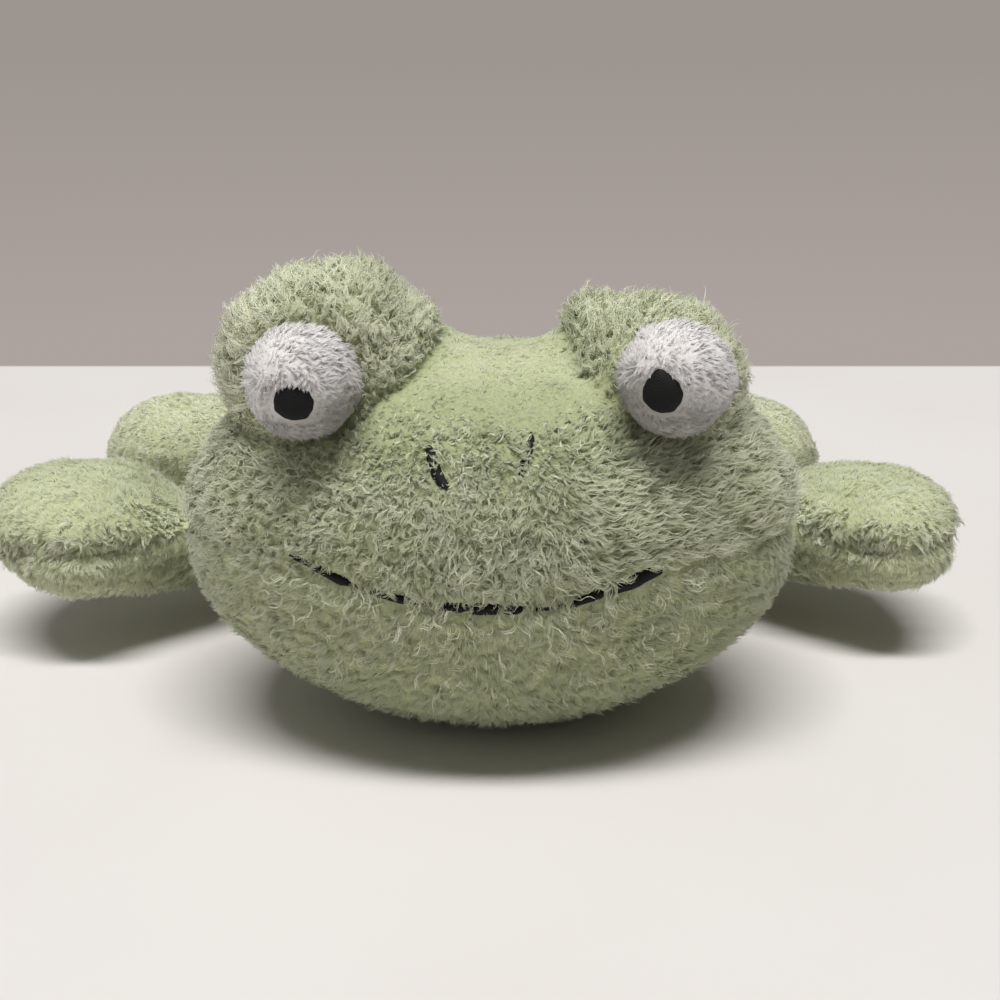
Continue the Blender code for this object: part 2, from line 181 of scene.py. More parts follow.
# Brushed polyester pile: matt fibres with random dull patches, painted shade where they stand in each other's
# shade, and paler tips and strands, partly painted highlights
greenPile = {
    "root": "#bfc597",
    "middle": "#d8ddbf",
    "tip": "#ebefd6",
    "pale": "#fafbe6",
    "paleShare": 0.25,
    "dull": "#c8cda4",
    "shaded": "#848f5c",
    "patch": 9.0,
    "roughness": 0.75,
    "sheen": 0.4,
    "through": 0.25,
}
whitePile = {
    "root": "#ebe7e5",
    "middle": "#f6f3f2",
    "tip": "#fbfaf9",
    "pale": "#fefdfd",
    "paleShare": 0.2,
    "dull": "#e8e3e1",
    "shaded": "#73746b",
    "patch": 4.0,
    "roughness": 0.7,
    "sheen": 0.2,
    "through": 0.2,
}


def pileMaterial(name, values):
    material, tree, surface = newMaterial(name, values["roughness"], sheen=values["sheen"], specular=0.2)
    along = attributeOf(tree, "along")
    body = rampOf(tree, along, [(0.0, values["root"]), (0.45, values["middle"]), (1.0, values["tip"])])
    dullness = mapped(tree, noiseOf(tree, values["patch"] * mm, 2.0), fromMin=0.45, fromMax=0.7, toMax=0.5)
    dulled = mixColours(tree, dullness, body, values["dull"])
    # painted shade: the shade attribute darkens the pile towards its shaded colour
    paintedShade = mixColours(tree, attributeOf(tree, "shade"), dulled, values["shaded"])
    # painted highlights: strands with a high tint turn pale, most towards their tips
    paleness = mapped(tree, attributeOf(tree, "tint"), fromMin=1 - values["paleShare"], fromMax=1.0, toMax=0.9)
    tipped = mathOf(tree, "MULTIPLY", paleness, mapped(tree, along, toMin=0.35))
    lit = mixColours(tree, tipped, paintedShade, values["pale"])
    tree.links.new(lit, surface.inputs["Base Color"])
    # part of the light passes through so thin a fibre
    through = addNode(tree, "ShaderNodeBsdfTranslucent", links={"Color": lit})
    both = addNode(tree, "ShaderNodeMixShader", {"Fac": values["through"]})
    tree.links.new(surface.outputs["BSDF"], both.inputs[1])
    tree.links.new(through.outputs["BSDF"], both.inputs[2])
    tree.links.new(both.outputs["Shader"], tree.nodes["Material Output"].inputs["Surface"])
    return material


# Knitted polyester backing that shows between the fibres: fine loops about 0.6 mm apart
backingValues = {
    "loop": 0.6,
    "bump": 0.25,
    "roughness": 0.9,
}


def backingMaterial(name, dark, light, shaded):
    material, tree, surface = newMaterial(name, backingValues["roughness"], sheen=0.1, specular=0.2)
    loops = addNode(tree, "ShaderNodeTexVoronoi", {"Scale": 1 / (backingValues["loop"] * mm)},
                    {"Vector": placeOf(tree)})
    colour = rampOf(tree, loops.outputs["Distance"], [(0.0, light), (0.75, dark)])
    bump = addNode(tree, "ShaderNodeBump",
                   {"Strength": backingValues["bump"], "Distance": backingValues["loop"] * mm / 2},
                   {"Height": loops.outputs["Distance"]}, invert=True)
    # painted shade: the shade attribute darkens the backing towards the shaded colour, as on the pile
    paintedShade = mixColours(tree, attributeOf(tree, "shade"), colour, shaded)
    tree.links.new(paintedShade, surface.inputs["Base Color"])
    tree.links.new(bump.outputs["Normal"], surface.inputs["Normal"])
    return material


# Rayon embroidery thread: smooth, with a satin gleam along each stitch
threadValues = {
    "base": "#07090a",
    "wearAndEdgeShade": "#101314",
    "roughness": 0.6,
    "ply": 0.12,
}


def threadMaterial(name):
    material, tree, surface = newMaterial(name, threadValues["roughness"], sheen=0.02, specular=0.25)
    plies = noiseOf(tree, threadValues["ply"] * mm, 3.0)
    colour = rampOf(tree, plies, [(0.35, threadValues["base"]), (0.75, threadValues["wearAndEdgeShade"])])
    bump = addNode(tree, "ShaderNodeBump", {"Strength": 0.3, "Distance": threadValues["ply"] * mm / 3},
                   {"Height": plies})
    tree.links.new(colour, surface.inputs["Base Color"])
    tree.links.new(bump.outputs["Normal"], surface.inputs["Normal"])
    return material


pileGreen = pileMaterial("brushedPolyesterPileGreen", greenPile)
pileWhite = pileMaterial("brushedPolyesterPileWhite", whitePile)
backingGreen = backingMaterial("knittedPolyesterBackingGreen", "#b1b68f", "#cbd0ab", greenPile["shaded"])
backingWhite = backingMaterial("knittedPolyesterBackingWhite", "#dbd7d4", "#e9e6e3", whitePile["shaded"])
satinThread = threadMaterial("rayonSatinThreadBlack")

# The table and the light
stageValues = {
    "tableColour": "#dedad7",
    "tableMark": "#dad5d1",
    "tableMarkSize": 1 / 9,
    "tableHalfWidth": 1.6,
    "tableBackEdge": 0.276,
    "tableDepth": 2.2,
    "tableRim": 0.006,
    "rimColour": "#a59d98",
    "wallLow": "#aca39f",
    "wallHigh": "#9d9590",
    "wallFrom": -0.16,
    "wallTo": 0.06,
    "ambientLeft": 0.26,
    "ambientRight": 0.03,
    "lampHeight": 5.0,
    "lampForward": 1.25,
    "lampWide": 3.7,
    "lampDeep": 0.75,
    "lampPower": 292.0,
    "lampColour": (1.0, 0.995, 0.985),
}


def setStage(values):
    scene.view_settings.view_transform = "Standard"
    bpy.ops.object.select_all(action="DESELECT")
    middle = values["tableBackEdge"] - values["tableDepth"] / 2
    bpy.ops.mesh.primitive_plane_add(size=1, location=(0, middle, 0))
    table = bpy.context.object
    table.name = "table_top"
    table.scale = (2 * values["tableHalfWidth"], values["tableDepth"], 1)
    bpy.ops.object.transform_apply(location=True, scale=True)
    material, tree, surface = newMaterial("paintedTableTop", 0.8, specular=0.15)
    marks = noiseOf(tree, values["tableMarkSize"], 5.0)
    top = rampOf(tree, marks, [(0.4, values["tableColour"]), (0.9, values["tableMark"])])
    depth = addNode(tree, "ShaderNodeSeparateXYZ", links={"Vector": placeOf(tree)})
    edge = addNode(tree, "ShaderNodeMapRange", {"From Min": values["tableBackEdge"] - values["tableRim"],
                                                "From Max": values["tableBackEdge"]},
                   {"Value": depth.outputs["Y"]}, interpolation_type="SMOOTHSTEP")
    # painted shade: the table's back edge is darkened towards the rim colour
    wearAndEdgeShade = mixColours(tree, edge.outputs["Result"], top, values["rimColour"])
    tree.links.new(wearAndEdgeShade, surface.inputs["Base Color"])
    table.data.materials.append(material)

    world = bpy.data.worlds.new("room")
    scene.world = world
    world.use_nodes = True
    tree = world.node_tree
    background = tree.nodes["Background"]
    ray = addNode(tree, "ShaderNodeLightPath")
    straight = mathOf(tree, "MAXIMUM", ray.outputs["Is Camera Ray"], ray.outputs["Is Glossy Ray"])
    seen = mathOf(tree, "MAXIMUM", straight, ray.outputs["Is Transmission Ray"])
    way = addNode(tree, "ShaderNodeTexCoord")
    parts = addNode(tree, "ShaderNodeSeparateXYZ", links={"Vector": way.outputs["Generated"]})
    glow = mapped(tree, parts.outputs["X"], fromMin=-1.0, toMin=values["ambientLeft"],
                  toMax=values["ambientRight"])
    height = mapped(tree, parts.outputs["Z"], fromMin=values["wallFrom"], fromMax=values["wallTo"])
    wall = rampOf(tree, height, [(0.0, values["wallLow"]), (1.0, values["wallHigh"])])
    tree.links.new(mixColours(tree, seen, glow, wall), background.inputs["Color"])

    data = bpy.data.lights.new("ceilingLamp", "AREA")
    data.shape = "RECTANGLE"
    data.size = values["lampWide"]
    data.size_y = values["lampDeep"]
    data.energy = values["lampPower"]
    data.color = values["lampColour"]
    lamp = bpy.data.objects.new("ceilingLamp", data)
    scene.collection.objects.link(lamp)
    lamp.location = (0, -values["lampForward"], values["lampHeight"])
    toMiddle = Vector((0, -0.05, 0)) - lamp.location
    lamp.rotation_euler = toMiddle.to_track_quat("-Z", "Y").to_euler()


setStage(stageValues)
print("table and light set")

# Stuffed cloth skins: each is the outer face of its CAD pieces, swollen by its stuffing
skinValues = {
    "voxel": 3.2,
    "slack": 0.5,
    "pressure": 4.0,
    "cap": 1.1,
    "frames": 20,
    "seamDepth": 0.9,
    "seamWidth": 1.5,
}
sides = ("left", "right")
limbs = [part + "_" + side for part in ("arm", "leg") for side in sides]
skinNodes = {
    "torso_skin": ["torso_back_panel", "torso_belly_panel", "torso_filling"],
    "head_skin": ["head_top_panel", "head_chin_panel", "head_filling"]
                 + [part + side for part in ("eye_hood_", "hood_filling_") for side in sides],
}
for limb in limbs:
    skinNodes[limb + "_skin"] = [limb + "_top_panel", limb + "_bottom_panel", limb + "_filling"]
for side in sides:
    skinNodes["eyeball_skin_" + side] = ["eyeball_" + side, "eyeball_filling_" + side]

# Stuffing that rounds the hoods off into the head: place from the head's middle and radii, in mm
hoodBlends = [
    ((-37.5, 1, 18), (15, 20, 21)),
    ((36.5, 1, 17), (15.5, 20, 19)),
    ((-29, 8, 24), (19, 18, 17)),
    ((30, 8, 22), (18, 18, 16)),
    ((-17.5, -1, 29), (10.5, 16, 13.5)),
    ((-25, 0, 33), (11, 15, 14)),
    ((-8, 0, 26.5), (10, 15, 10)),
    ((21.5, 0.5, 30), (10, 14, 13.5)),
]
# Stuffing at each limb's root: place outward and down from its hinge and radii along, across and up, in mm
limbBlends = {
    "arm": ((4.5, -1.5), (13, 14.5, 8.5)),
    "leg": ((5.5, -2.0), (15, 17, 11)),
}
# Stuffing that fills the limbs' blunt ends: place outward, back and up from the limb's middle and radii, in mm
limbEnds = {
    "arm_left": [((26, 0, 2.5), (18, 24, 13)), ((11, 2.5, 3), (20, 22, 12.5))],
    "arm_right": [((19.5, 0.5, 2.5), (16, 22, 11.5)), ((6, 2, 3), (18, 20, 11))],
    "leg_left": [((12, -1, 0.5), (23.5, 24, 19.5)), ((-5, -3, 1), (22, 22, 19.5))],
    "leg_right": [((0.5, -8, -1), (20, 24, 19)), ((-14, -8, -1), (18, 22, 19))],
}
hinges = {joint["child"]: joint for joint in frame["joints"]}


def bodyOfNode(node):
    return frame["nodes"][node]["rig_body"]


def treeOf(obj):
    mesh = obj.data
    return BVHTree.FromPolygons([v.co for v in mesh.vertices], [tuple(p.vertices) for p in mesh.polygons])


nodeTrees = {name: treeOf(obj) for name, obj in frame["nodes"].items()}


def points(obj):
    found = np.empty(len(obj.data.vertices) * 3, np.float32)
    obj.data.vertices.foreach_get("co", found)
    return found.reshape(-1, 3).astype(float)


def normals(obj):
    found = np.empty(len(obj.data.vertices) * 3, np.float32)
    obj.data.vertices.foreach_get("normal", found)
    return found.reshape(-1, 3).astype(float)


def setPoints(obj, places):
    obj.data.vertices.foreach_set("co", places.astype(np.float32).ravel())
    obj.data.update()


def applyModifier(obj, kind, **settings):
    modifier = obj.modifiers.new(kind.lower(), kind)
    for name, value in settings.items():
        setattr(modifier, name, value)
    bpy.ops.object.select_all(action="DESELECT")
    obj.select_set(True)
    bpy.context.view_layer.objects.active = obj
    bpy.ops.object.modifier_apply(modifier=modifier.name)


headMiddle = Vector((0, (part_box("head_top_panel")[0].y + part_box("head_top_panel")[1].y) / 2,
                     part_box("head_chin_panel")[1].z))


def frameMiddle(node):
    low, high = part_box(node)
    return (low + high) / 2


def hingeOf(limb):
    # the hinge's place, the way the limb leaves the body there, and its bearing
    joint = hinges[limb]
    hinge = Vector(joint["pos_m"])
    outward = Vector(joint["axis"]).cross(Vector((0, 0, 1))).normalized()
    if outward.x * hinge.x < 0:
        outward = -outward
    return hinge, outward, math.atan2(outward.y, outward.x)


def addStuffing(shape, place, radii, turn=0.0):
    size = Matrix.Diagonal((*[r * mm for r in radii], 1))
    seat = Matrix.Translation(place) @ Matrix.Rotation(turn, 4, "Z") @ size
    bmesh.ops.create_uvsphere(shape, u_segments=24, v_segments=14, radius=1, matrix=seat)


def newSkin(name, nodes):
    mesh = bpy.data.meshes.new(name)
    shape = bmesh.new()
    for node in nodes:
        shape.from_mesh(frame["nodes"][node].data)
    bmesh.ops.remove_doubles(shape, verts=shape.verts, dist=0.00001)
    if name == "head_skin":
        for place, radii in hoodBlends:
            addStuffing(shape, headMiddle + Vector(place) * mm, radii)
    for limb in limbs:
        if name == limb + "_skin":
            hinge, outward, turn = hingeOf(limb)
            (out, down), radii = limbBlends[limb[:3]]
            addStuffing(shape, hinge + (outward * out + Vector((0, 0, down))) * mm, radii, turn)
            middle = frameMiddle(limb + "_filling")
            for (out, back, up), radii in limbEnds[limb]:
                addStuffing(shape, middle + Vector((math.copysign(1, middle.x) * out, back, up)) * mm, radii)
    shape.to_mesh(mesh)
    shape.free()
    skin = bpy.data.objects.new(name, mesh)
    scene.collection.objects.link(skin)
    small = "eyeball" in name
    applyModifier(skin, "REMESH", mode="VOXEL", voxel_size=skinValues["voxel"] * mm * (0.45 if small else 1))
    applyModifier(skin, "SMOOTH", factor=0.5, iterations=2 if small else 4)
    setPoints(skin, points(skin) - normals(skin) * skinValues["slack"] * mm * (-1.2 if small else 1))
    return skin


def swell(skins):
    before = {skin.name: points(skin) for skin in skins}
    for skin in skins:
        cloth = skin.modifiers.new("cloth", "CLOTH")
        cloth.settings.quality = 5
        cloth.settings.mass = 0.3
        cloth.settings.use_pressure = True
        cloth.settings.uniform_pressure_force = skinValues["pressure"]
        cloth.settings.effector_weights.gravity = 0
        cloth.collision_settings.use_collision = False
        cloth.point_cache.frame_end = skinValues["frames"]
    for step in range(1, skinValues["frames"] + 1):
        scene.frame_set(step)
    for skin in skins:
        bpy.ops.object.select_all(action="DESELECT")
        skin.select_set(True)
        bpy.context.view_layer.objects.active = skin
        bpy.ops.object.modifier_apply(modifier="cloth")
        moved = points(skin) - before[skin.name]
        cap = skinValues["cap"] * mm * (0.4 if "eyeball" in skin.name else 1)
        far = np.linalg.norm(moved, axis=1, keepdims=True)
        setPoints(skin, before[skin.name] + moved * np.minimum(1, cap / np.maximum(far, 1e-9)))
        applyModifier(skin, "SMOOTH", factor=0.5, iterations=2)
    scene.frame_set(1)


def nearness(places, node):
    tree = nodeTrees[node]
    return np.array([tree.find_nearest(Vector(p))[3] for p in places])


def pressSeam(skin, above, below, share=1.0):
    # a furrow along the line where the two panels meet, which is as far from one as from the other
    places = points(skin)
    apart = (nearness(places, above) - nearness(places, below)) / mm
    depth = skinValues["seamDepth"] * mm * share * np.exp(-(apart / skinValues["seamWidth"]) ** 2)
    setPoints(skin, places - normals(skin) * depth[:, None])


def smoothStep(x, start, end):
    t = np.clip((x - start) / (end - start), 0, 1)
    return t * t * (3 - 2 * t)


def drift(places, size, seed):
    # a smooth wandering value from -1 to 1, its hills about size mm apart
    random = np.random.default_rng(seed)
    total = np.zeros(len(places))
    for _ in range(6):
        way = random.normal(size=3)
        way /= np.linalg.norm(way)
        wave = size * mm * random.uniform(0.7, 1.6)
        total += np.sin(places @ way * 2 * math.pi / wave + random.uniform(0, 2 * math.pi))
    return total / 3.2


# Cheeks: how far the stuffing pushes them out on the left and right, about which height and how far from it
cheekValues = {
    "out": (4.2, 3.6),
    "height": 30.0,
    "reach": 26.0,
}


def fillCheeks(skin):
    places = points(skin)
    x, _, z = (places / mm).T
    out = np.where(x < 0, -cheekValues["out"][0], cheekValues["out"][1]) * smoothStep(np.abs(x), 28, 56)
    places[:, 0] += out * mm * np.exp(-((z - cheekValues["height"]) / cheekValues["reach"]) ** 2)
    setPoints(skin, places)


# The left hood's crown leans towards the other hood: how far, and between which heights
leanValues = {
    "over": 4.0,
    "start": 87.0,
    "end": 98.0,
}


def leanHood(skin):
    places = points(skin)
    x, _, z = (places / mm).T
    places[:, 0] += leanValues["over"] * mm * smoothStep(z, leanValues["start"], leanValues["end"]) * (x < 0)
    setPoints(skin, places)


# The fold along the paws' fronts, where the top panel's edge overhangs
foldValues = {
    "height": 29.8,
    "depth": 3.0,
    "width": 2.1,
    "wander": 1.3,
}


def foldHeight(places):
    return foldValues["height"] + foldValues["wander"] * drift(places, 26, 4)


def pressFold(skin):
    places, facing = points(skin), normals(skin)
    off = (places[:, 2] / mm - foldHeight(places)) / foldValues["width"]
    front = smoothStep(-facing[:, 1], -0.25, 0.45) * (0.75 + 0.35 * drift(places, 17, 8))
    depth = foldValues["depth"] * mm * np.exp(-off ** 2) * np.clip(front, 0, 1)
    level = facing * [1, 1, 0]
    setPoints(skin, places - level * depth[:, None])


# Shoulders: the arms are thinner than the paws and set further back. Top and under are the shares taken off
# above and below the fold between the two distances from the middle, back and full are in mm, and slope is how
# steeply the top falls away behind the front.
shoulderValues = {
    "left": dict(inner=75.5, outer=97.0, top=0.85, under=-0.4, back=6.5, full=5.5, slope=0.3, front=-68.0),
    "right": dict(inner=72.0, outer=92.0, top=0.6, under=-0.35, back=6.0, full=6.5, slope=0.1, front=-68.0),
}


def rootShare(places):
    # 1 in an arm's root and 0 in its paw
    far = np.abs(places[:, 0]) / mm
    return (1 - smoothStep(far, 75, 92)) * (0.5 + 0.5 * smoothStep(far, 46, 66))


def shapeShoulder(skin, side):
    values = shoulderValues[side]
    places, facing = points(skin), normals(skin)
    far = np.abs(places[:, 0]) / mm
    thin = (1 - smoothStep(far, values["inner"], values["outer"])) * (0.5 + 0.5 * smoothStep(far, 46, 66))
    high = places[:, 2] - foldValues["height"] * mm
    falls = values["slope"] * np.clip(places[:, 1] - values["front"] * mm, 0, 40 * mm)
    places[:, 2] -= thin * (np.where(high > 0, values["top"], values["under"]) * high
                            + falls * smoothStep(high / mm, -10, 0))
    behind = (1 - smoothStep(far, 76, 100)) * smoothStep(far, 42, 58)
    places[:, 1] += behind * (values["back"] + values["full"] * np.maximum(facing[:, 1], 0)) * mm
    setPoints(skin, places)


def attach(obj, body):
    # a limb's cloth is baked in place where it is sewn on, and the rest rides on its body
    if body not in limbs:
        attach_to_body(obj, body)
        return
    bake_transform(obj)


skins = {name: newSkin(name, nodes) for name, nodes in skinNodes.items()}
swell(list(skins.values()))
for skin in skins.values():
    applyModifier(skin, "SUBSURF", levels=1, render_levels=1)
    skin.data.shade_smooth()
pressSeam(skins["torso_skin"], "torso_back_panel", "torso_belly_panel")
pressSeam(skins["head_skin"], "head_top_panel", "head_chin_panel")
pressSeam(skins["head_skin"], "eye_hood_left", "head_top_panel", 1.6)
pressSeam(skins["head_skin"], "eye_hood_right", "head_top_panel", 0.8)
fillCheeks(skins["head_skin"])
leanHood(skins["head_skin"])
for side in sides:
    shapeShoulder(skins["arm_" + side + "_skin"], side)
    pressFold(skins["arm_" + side + "_skin"])
    pressSeam(skins["leg_" + side + "_skin"], "leg_" + side + "_top_panel", "leg_" + side + "_bottom_panel")
for name, skin in skins.items():
    skin.data.materials.clear()
    skin.data.materials.append(backingWhite if "eyeball" in name else backingGreen)
    low = points(skin)
    low[:, 2] = np.maximum(low[:, 2], 0)
    setPoints(skin, low)
    attach(skin, bodyOfNode(skinNodes[name][0]))
    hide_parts(*skinNodes[name])
print("skins:", {name: len(skin.data.polygons) for name, skin in skins.items()})

skinTrees = {name: treeOf(skin) for name, skin in skins.items()}

# The mouth's line across the face, in mm from the middle of the frog: across, up and its half height there
mouthLine = [
    (-36.8, 48.0, 0.45), (-31.5, 45.8, 0.8), (-26.1, 43.5, 1.1), (-20.5, 42.1, 0.7), (-15.0, 41.0, 0.9),
    (-8.7, 40.2, 0.85), (-1.9, 39.9, 1.35), (6.3, 39.6, 0.9), (11.0, 39.9, 0.6), (15.0, 40.7, 0.7),
    (19.4, 42.2, 1.05), (25.5, 44.1, 1.35), (30.9, 45.9, 0.9),
]
# Stretches of the mouth that curls hang over, across in mm
mouthCovered = [(-26.3, -21.6), (-15.2, -8.8), (-4.7, -3.7), (1.7, 2.6), (5.4, 14.4), (20.2, 21.4)]


def mouthHeight(across):
    return np.interp(across, [p[0] for p in mouthLine], [p[1] for p in mouthLine])


def mouthHalf(across):
    return np.interp(across, [p[0] for p in mouthLine], [p[2] for p in mouthLine])


def unit(vectors):
    return vectors / np.maximum(np.linalg.norm(vectors, axis=1, keepdims=True), 1e-9)


def rootsOn(skin, perArea, random):
    # clump roots spread over a skin: places and normals, perArea to the square mm
    mesh = skin.data
    mesh.calc_loop_triangles()
    corner = np.empty(len(mesh.loop_triangles) * 3, np.int32)
    mesh.loop_triangles.foreach_get("vertices", corner)
    corner = corner.reshape(-1, 3)
    area = np.empty(len(mesh.loop_triangles), np.float32)
    mesh.loop_triangles.foreach_get("area", area)
    area = area.astype(float)
    count = int(area.sum() / mm ** 2 * perArea)
    chosen = corner[random.choice(len(area), count, p=area / area.sum())]
    a, b = random.random((2, count, 1))
    flip = a + b > 1
    a, b = np.where(flip, 1 - a, a), np.where(flip, 1 - b, b)
    weights = np.concatenate([1 - a - b, a, b], axis=1)[:, :, None]
    places, facing = points(skin), normals(skin)
    return (places[chosen] * weights).sum(1), unit((facing[chosen] * weights).sum(1))


def within(tree, place):
    # True inside a closed skin, which a ray out of it leaves an odd number of times
    way = Vector((0.31, 0.17, 0.935)).normalized()
    crossed = 0
    while crossed < 20:
        hit = tree.ray_cast(place, way)[0]
        if hit is None:
            break
        crossed += 1
        place = hit + way * 0.01 * mm
    return crossed % 2 == 1


def shutIn(places, facing, others, room):
    # True where another skin lies round a root or within room mm of it
    found = np.zeros(len(places), bool)
    tips = places + facing * room * mm
    for name in others:
        shape = points(skins[name])
        near = ((tips > shape.min(0) - room * mm) & (tips < shape.max(0) + room * mm)).all(1) & ~found
        for i in np.flatnonzero(near):
            tip = Vector(tips[i])
            found[i] = skinTrees[name].find_nearest(tip, room * 0.6 * mm)[0] is not None or within(
                skinTrees[name], tip)
    return found


def setAttribute(mesh, name, values):
    mesh.attributes.new(name, "FLOAT", "POINT").data.foreach_set("value", values.astype(np.float32))


def strandPiece(name, body, material, clumps, perClump, steps, seed):
    random = np.random.default_rng(seed)
    count = len(clumps["root"])
    owner = np.repeat(np.arange(count), perClump)
    total = len(owner)
    c = {key: value[owner] for key, value in clumps.items()}
    up, ahead = c["normal"], c["heading"]
    aside = np.cross(up, ahead)
    reach = (c["spread"] * mm * np.sqrt(random.random(total)))[:, None]
    turn = random.uniform(0, 2 * math.pi, total)[:, None]
    offset = (ahead * np.cos(turn) + aside * np.sin(turn)) * reach
    length = c["length"] * mm * random.uniform(0.7, 1.15, total)
    phase = c["phase"] + random.normal(0, 0.28, total)
    twist = random.normal(0, 0.45, (total, 3))
    width = c["width"] * mm * random.uniform(0.75, 1.25, total)
    place = c["root"] + offset - up * 0.25 * mm
    rings = np.empty((total, 2 * steps + 1, 3))
    facing = np.empty_like(rings)
    even = c["even"][:, None]
    for k in range(steps):
        t = (k + 0.5) / steps
        lean = c["startLean"] + (c["endLean"] - c["startLean"]) * t ** 0.8
        lean = lean + c["rise"] * np.cos(2 * math.pi * c["turns"] * t + phase)
        sway = c["curl"] * np.sin(2 * math.pi * c["turns"] * t + phase)
        flat = ahead * np.cos(sway)[:, None] + aside * np.sin(sway)[:, None]
        way = up * np.cos(lean)[:, None] + flat * np.sin(lean)[:, None]
        aslant = unit(np.cross(way, up + twist))
        across = aslant * (width * (1.0 if k < steps - 1 else 0.75) / 2)[:, None]
        rings[:, 2 * k] = place - across
        rings[:, 2 * k + 1] = place + across
        # a fibre scatters light round itself, so it shades partly as the cloth under it does
        shade = unit(np.cross(aslant, way) * (1 - even) + up * even)
        facing[:, 2 * k] = facing[:, 2 * k + 1] = shade
        place = place + way * (length / steps)[:, None] - offset * (c["gather"] / steps)[:, None]
    rings[:, 2 * steps] = place
    facing[:, 2 * steps] = shade
    rings[:, :, 2] = np.maximum(rings[:, :, 2], 0.2 * mm)

    corners = []
    for k in range(steps - 1):
        corners += [2 * k, 2 * k + 1, 2 * k + 3, 2 * k + 2]
    corners += [2 * steps - 2, 2 * steps - 1, 2 * steps]
    sizes = [4] * (steps - 1) + [3]
    perStrand = 2 * steps + 1
    first = np.arange(total) * perStrand
    loops = (first[:, None] + np.array(corners)).ravel()
    starts = (np.arange(total)[:, None] * len(corners) + np.concatenate([[0], np.cumsum(sizes)[:-1]])).ravel()
    mesh = bpy.data.meshes.new(name)
    mesh.vertices.add(total * perStrand)
    mesh.vertices.foreach_set("co", rings.astype(np.float32).ravel())
    mesh.loops.add(len(loops))
    mesh.loops.foreach_set("vertex_index", loops.astype(np.int32))
    mesh.polygons.add(len(starts))
    mesh.polygons.foreach_set("loop_start", starts.astype(np.int32))
    mesh.update(calc_edges=True)
    mesh.shade_smooth()
    mesh.normals_split_custom_set_from_vertices(facing.reshape(-1, 3).astype(np.float32))
    level = np.append(np.repeat(np.arange(steps), 2), steps)
    tint = np.clip(random.random(total) * 0.6 + c["tint"] * 0.4, 0, 1)
    setAttribute(mesh, "along", np.tile(level / steps, total))
    setAttribute(mesh, "tint", np.repeat(tint, perStrand))
    setAttribute(mesh, "shade", np.repeat(c["shade"], perStrand))
    # each strand has a cell of its own in the map, root to tip up the cell
    cells = math.ceil(math.sqrt(total))
    corner = np.stack([np.append(np.tile([0.15, 0.85], steps), 0.5), level * 0.8 / steps + 0.1], 1)
    cell = np.stack([np.arange(total) % cells, np.arange(total) // cells], 1)
    flat = ((cell[:, None, :] + corner[corners][None]) / cells).reshape(-1, 2)
    mesh.uv_layers.new(name="OFBake").data.foreach_set("uv", flat.astype(np.float32).ravel())
    mesh.materials.append(material)
    obj = bpy.data.objects.new(name, mesh)
    scene.collection.objects.link(obj)
    attach(obj, body)
    print("  pile", name, total, "strands", total * (2 * steps - 1), "triangles")
    return obj


def clumpsAt(places, facing, heading, values, random, calm):
    # one entry for each clump of the pile, which wanders less where it is calm
    count = len(places)
    flat = unit(heading - facing * (heading * facing).sum(1, keepdims=True))
    aside = np.cross(facing, flat)
    wander = np.radians(values["wander"]) * drift(places, values["wanderSize"], 11)
    wander = (wander + np.radians(values["scatter"]) * random.normal(size=count)) * (1 - calm)
    flat = flat * np.cos(wander)[:, None] + aside * np.sin(wander)[:, None]
    clumps = {
        "root": places,
        "normal": facing,
        "heading": flat,
        "length": values["length"] * (1 + 0.2 * drift(places, 7, 12)) * random.uniform(0.8, 1.2, count),
        "startLean": np.radians(values["startLean"] + 12 * random.normal(size=count)),
        "endLean": np.radians(values["endLean"] + 10 * random.normal(size=count)),
        "curl": np.radians(values["curl"]) * random.uniform(0.5, 1.2, count) * (1 - 0.7 * calm),
        "rise": np.radians(values["rise"]) * random.uniform(0.3, 1.2, count),
        "turns": random.uniform(0.7, 1.2, count),
        "phase": random.uniform(0, 2 * math.pi, count),
        "tint": random.random(count) * values["wisps"],
        "shade": np.zeros(count),
    }
    for key in ("spread", "gather", "width", "even"):
        clumps[key] = np.full(count, values[key])
    return clumps


def kept(clumps, mask):
    return {key: value[mask] for key, value in clumps.items()}


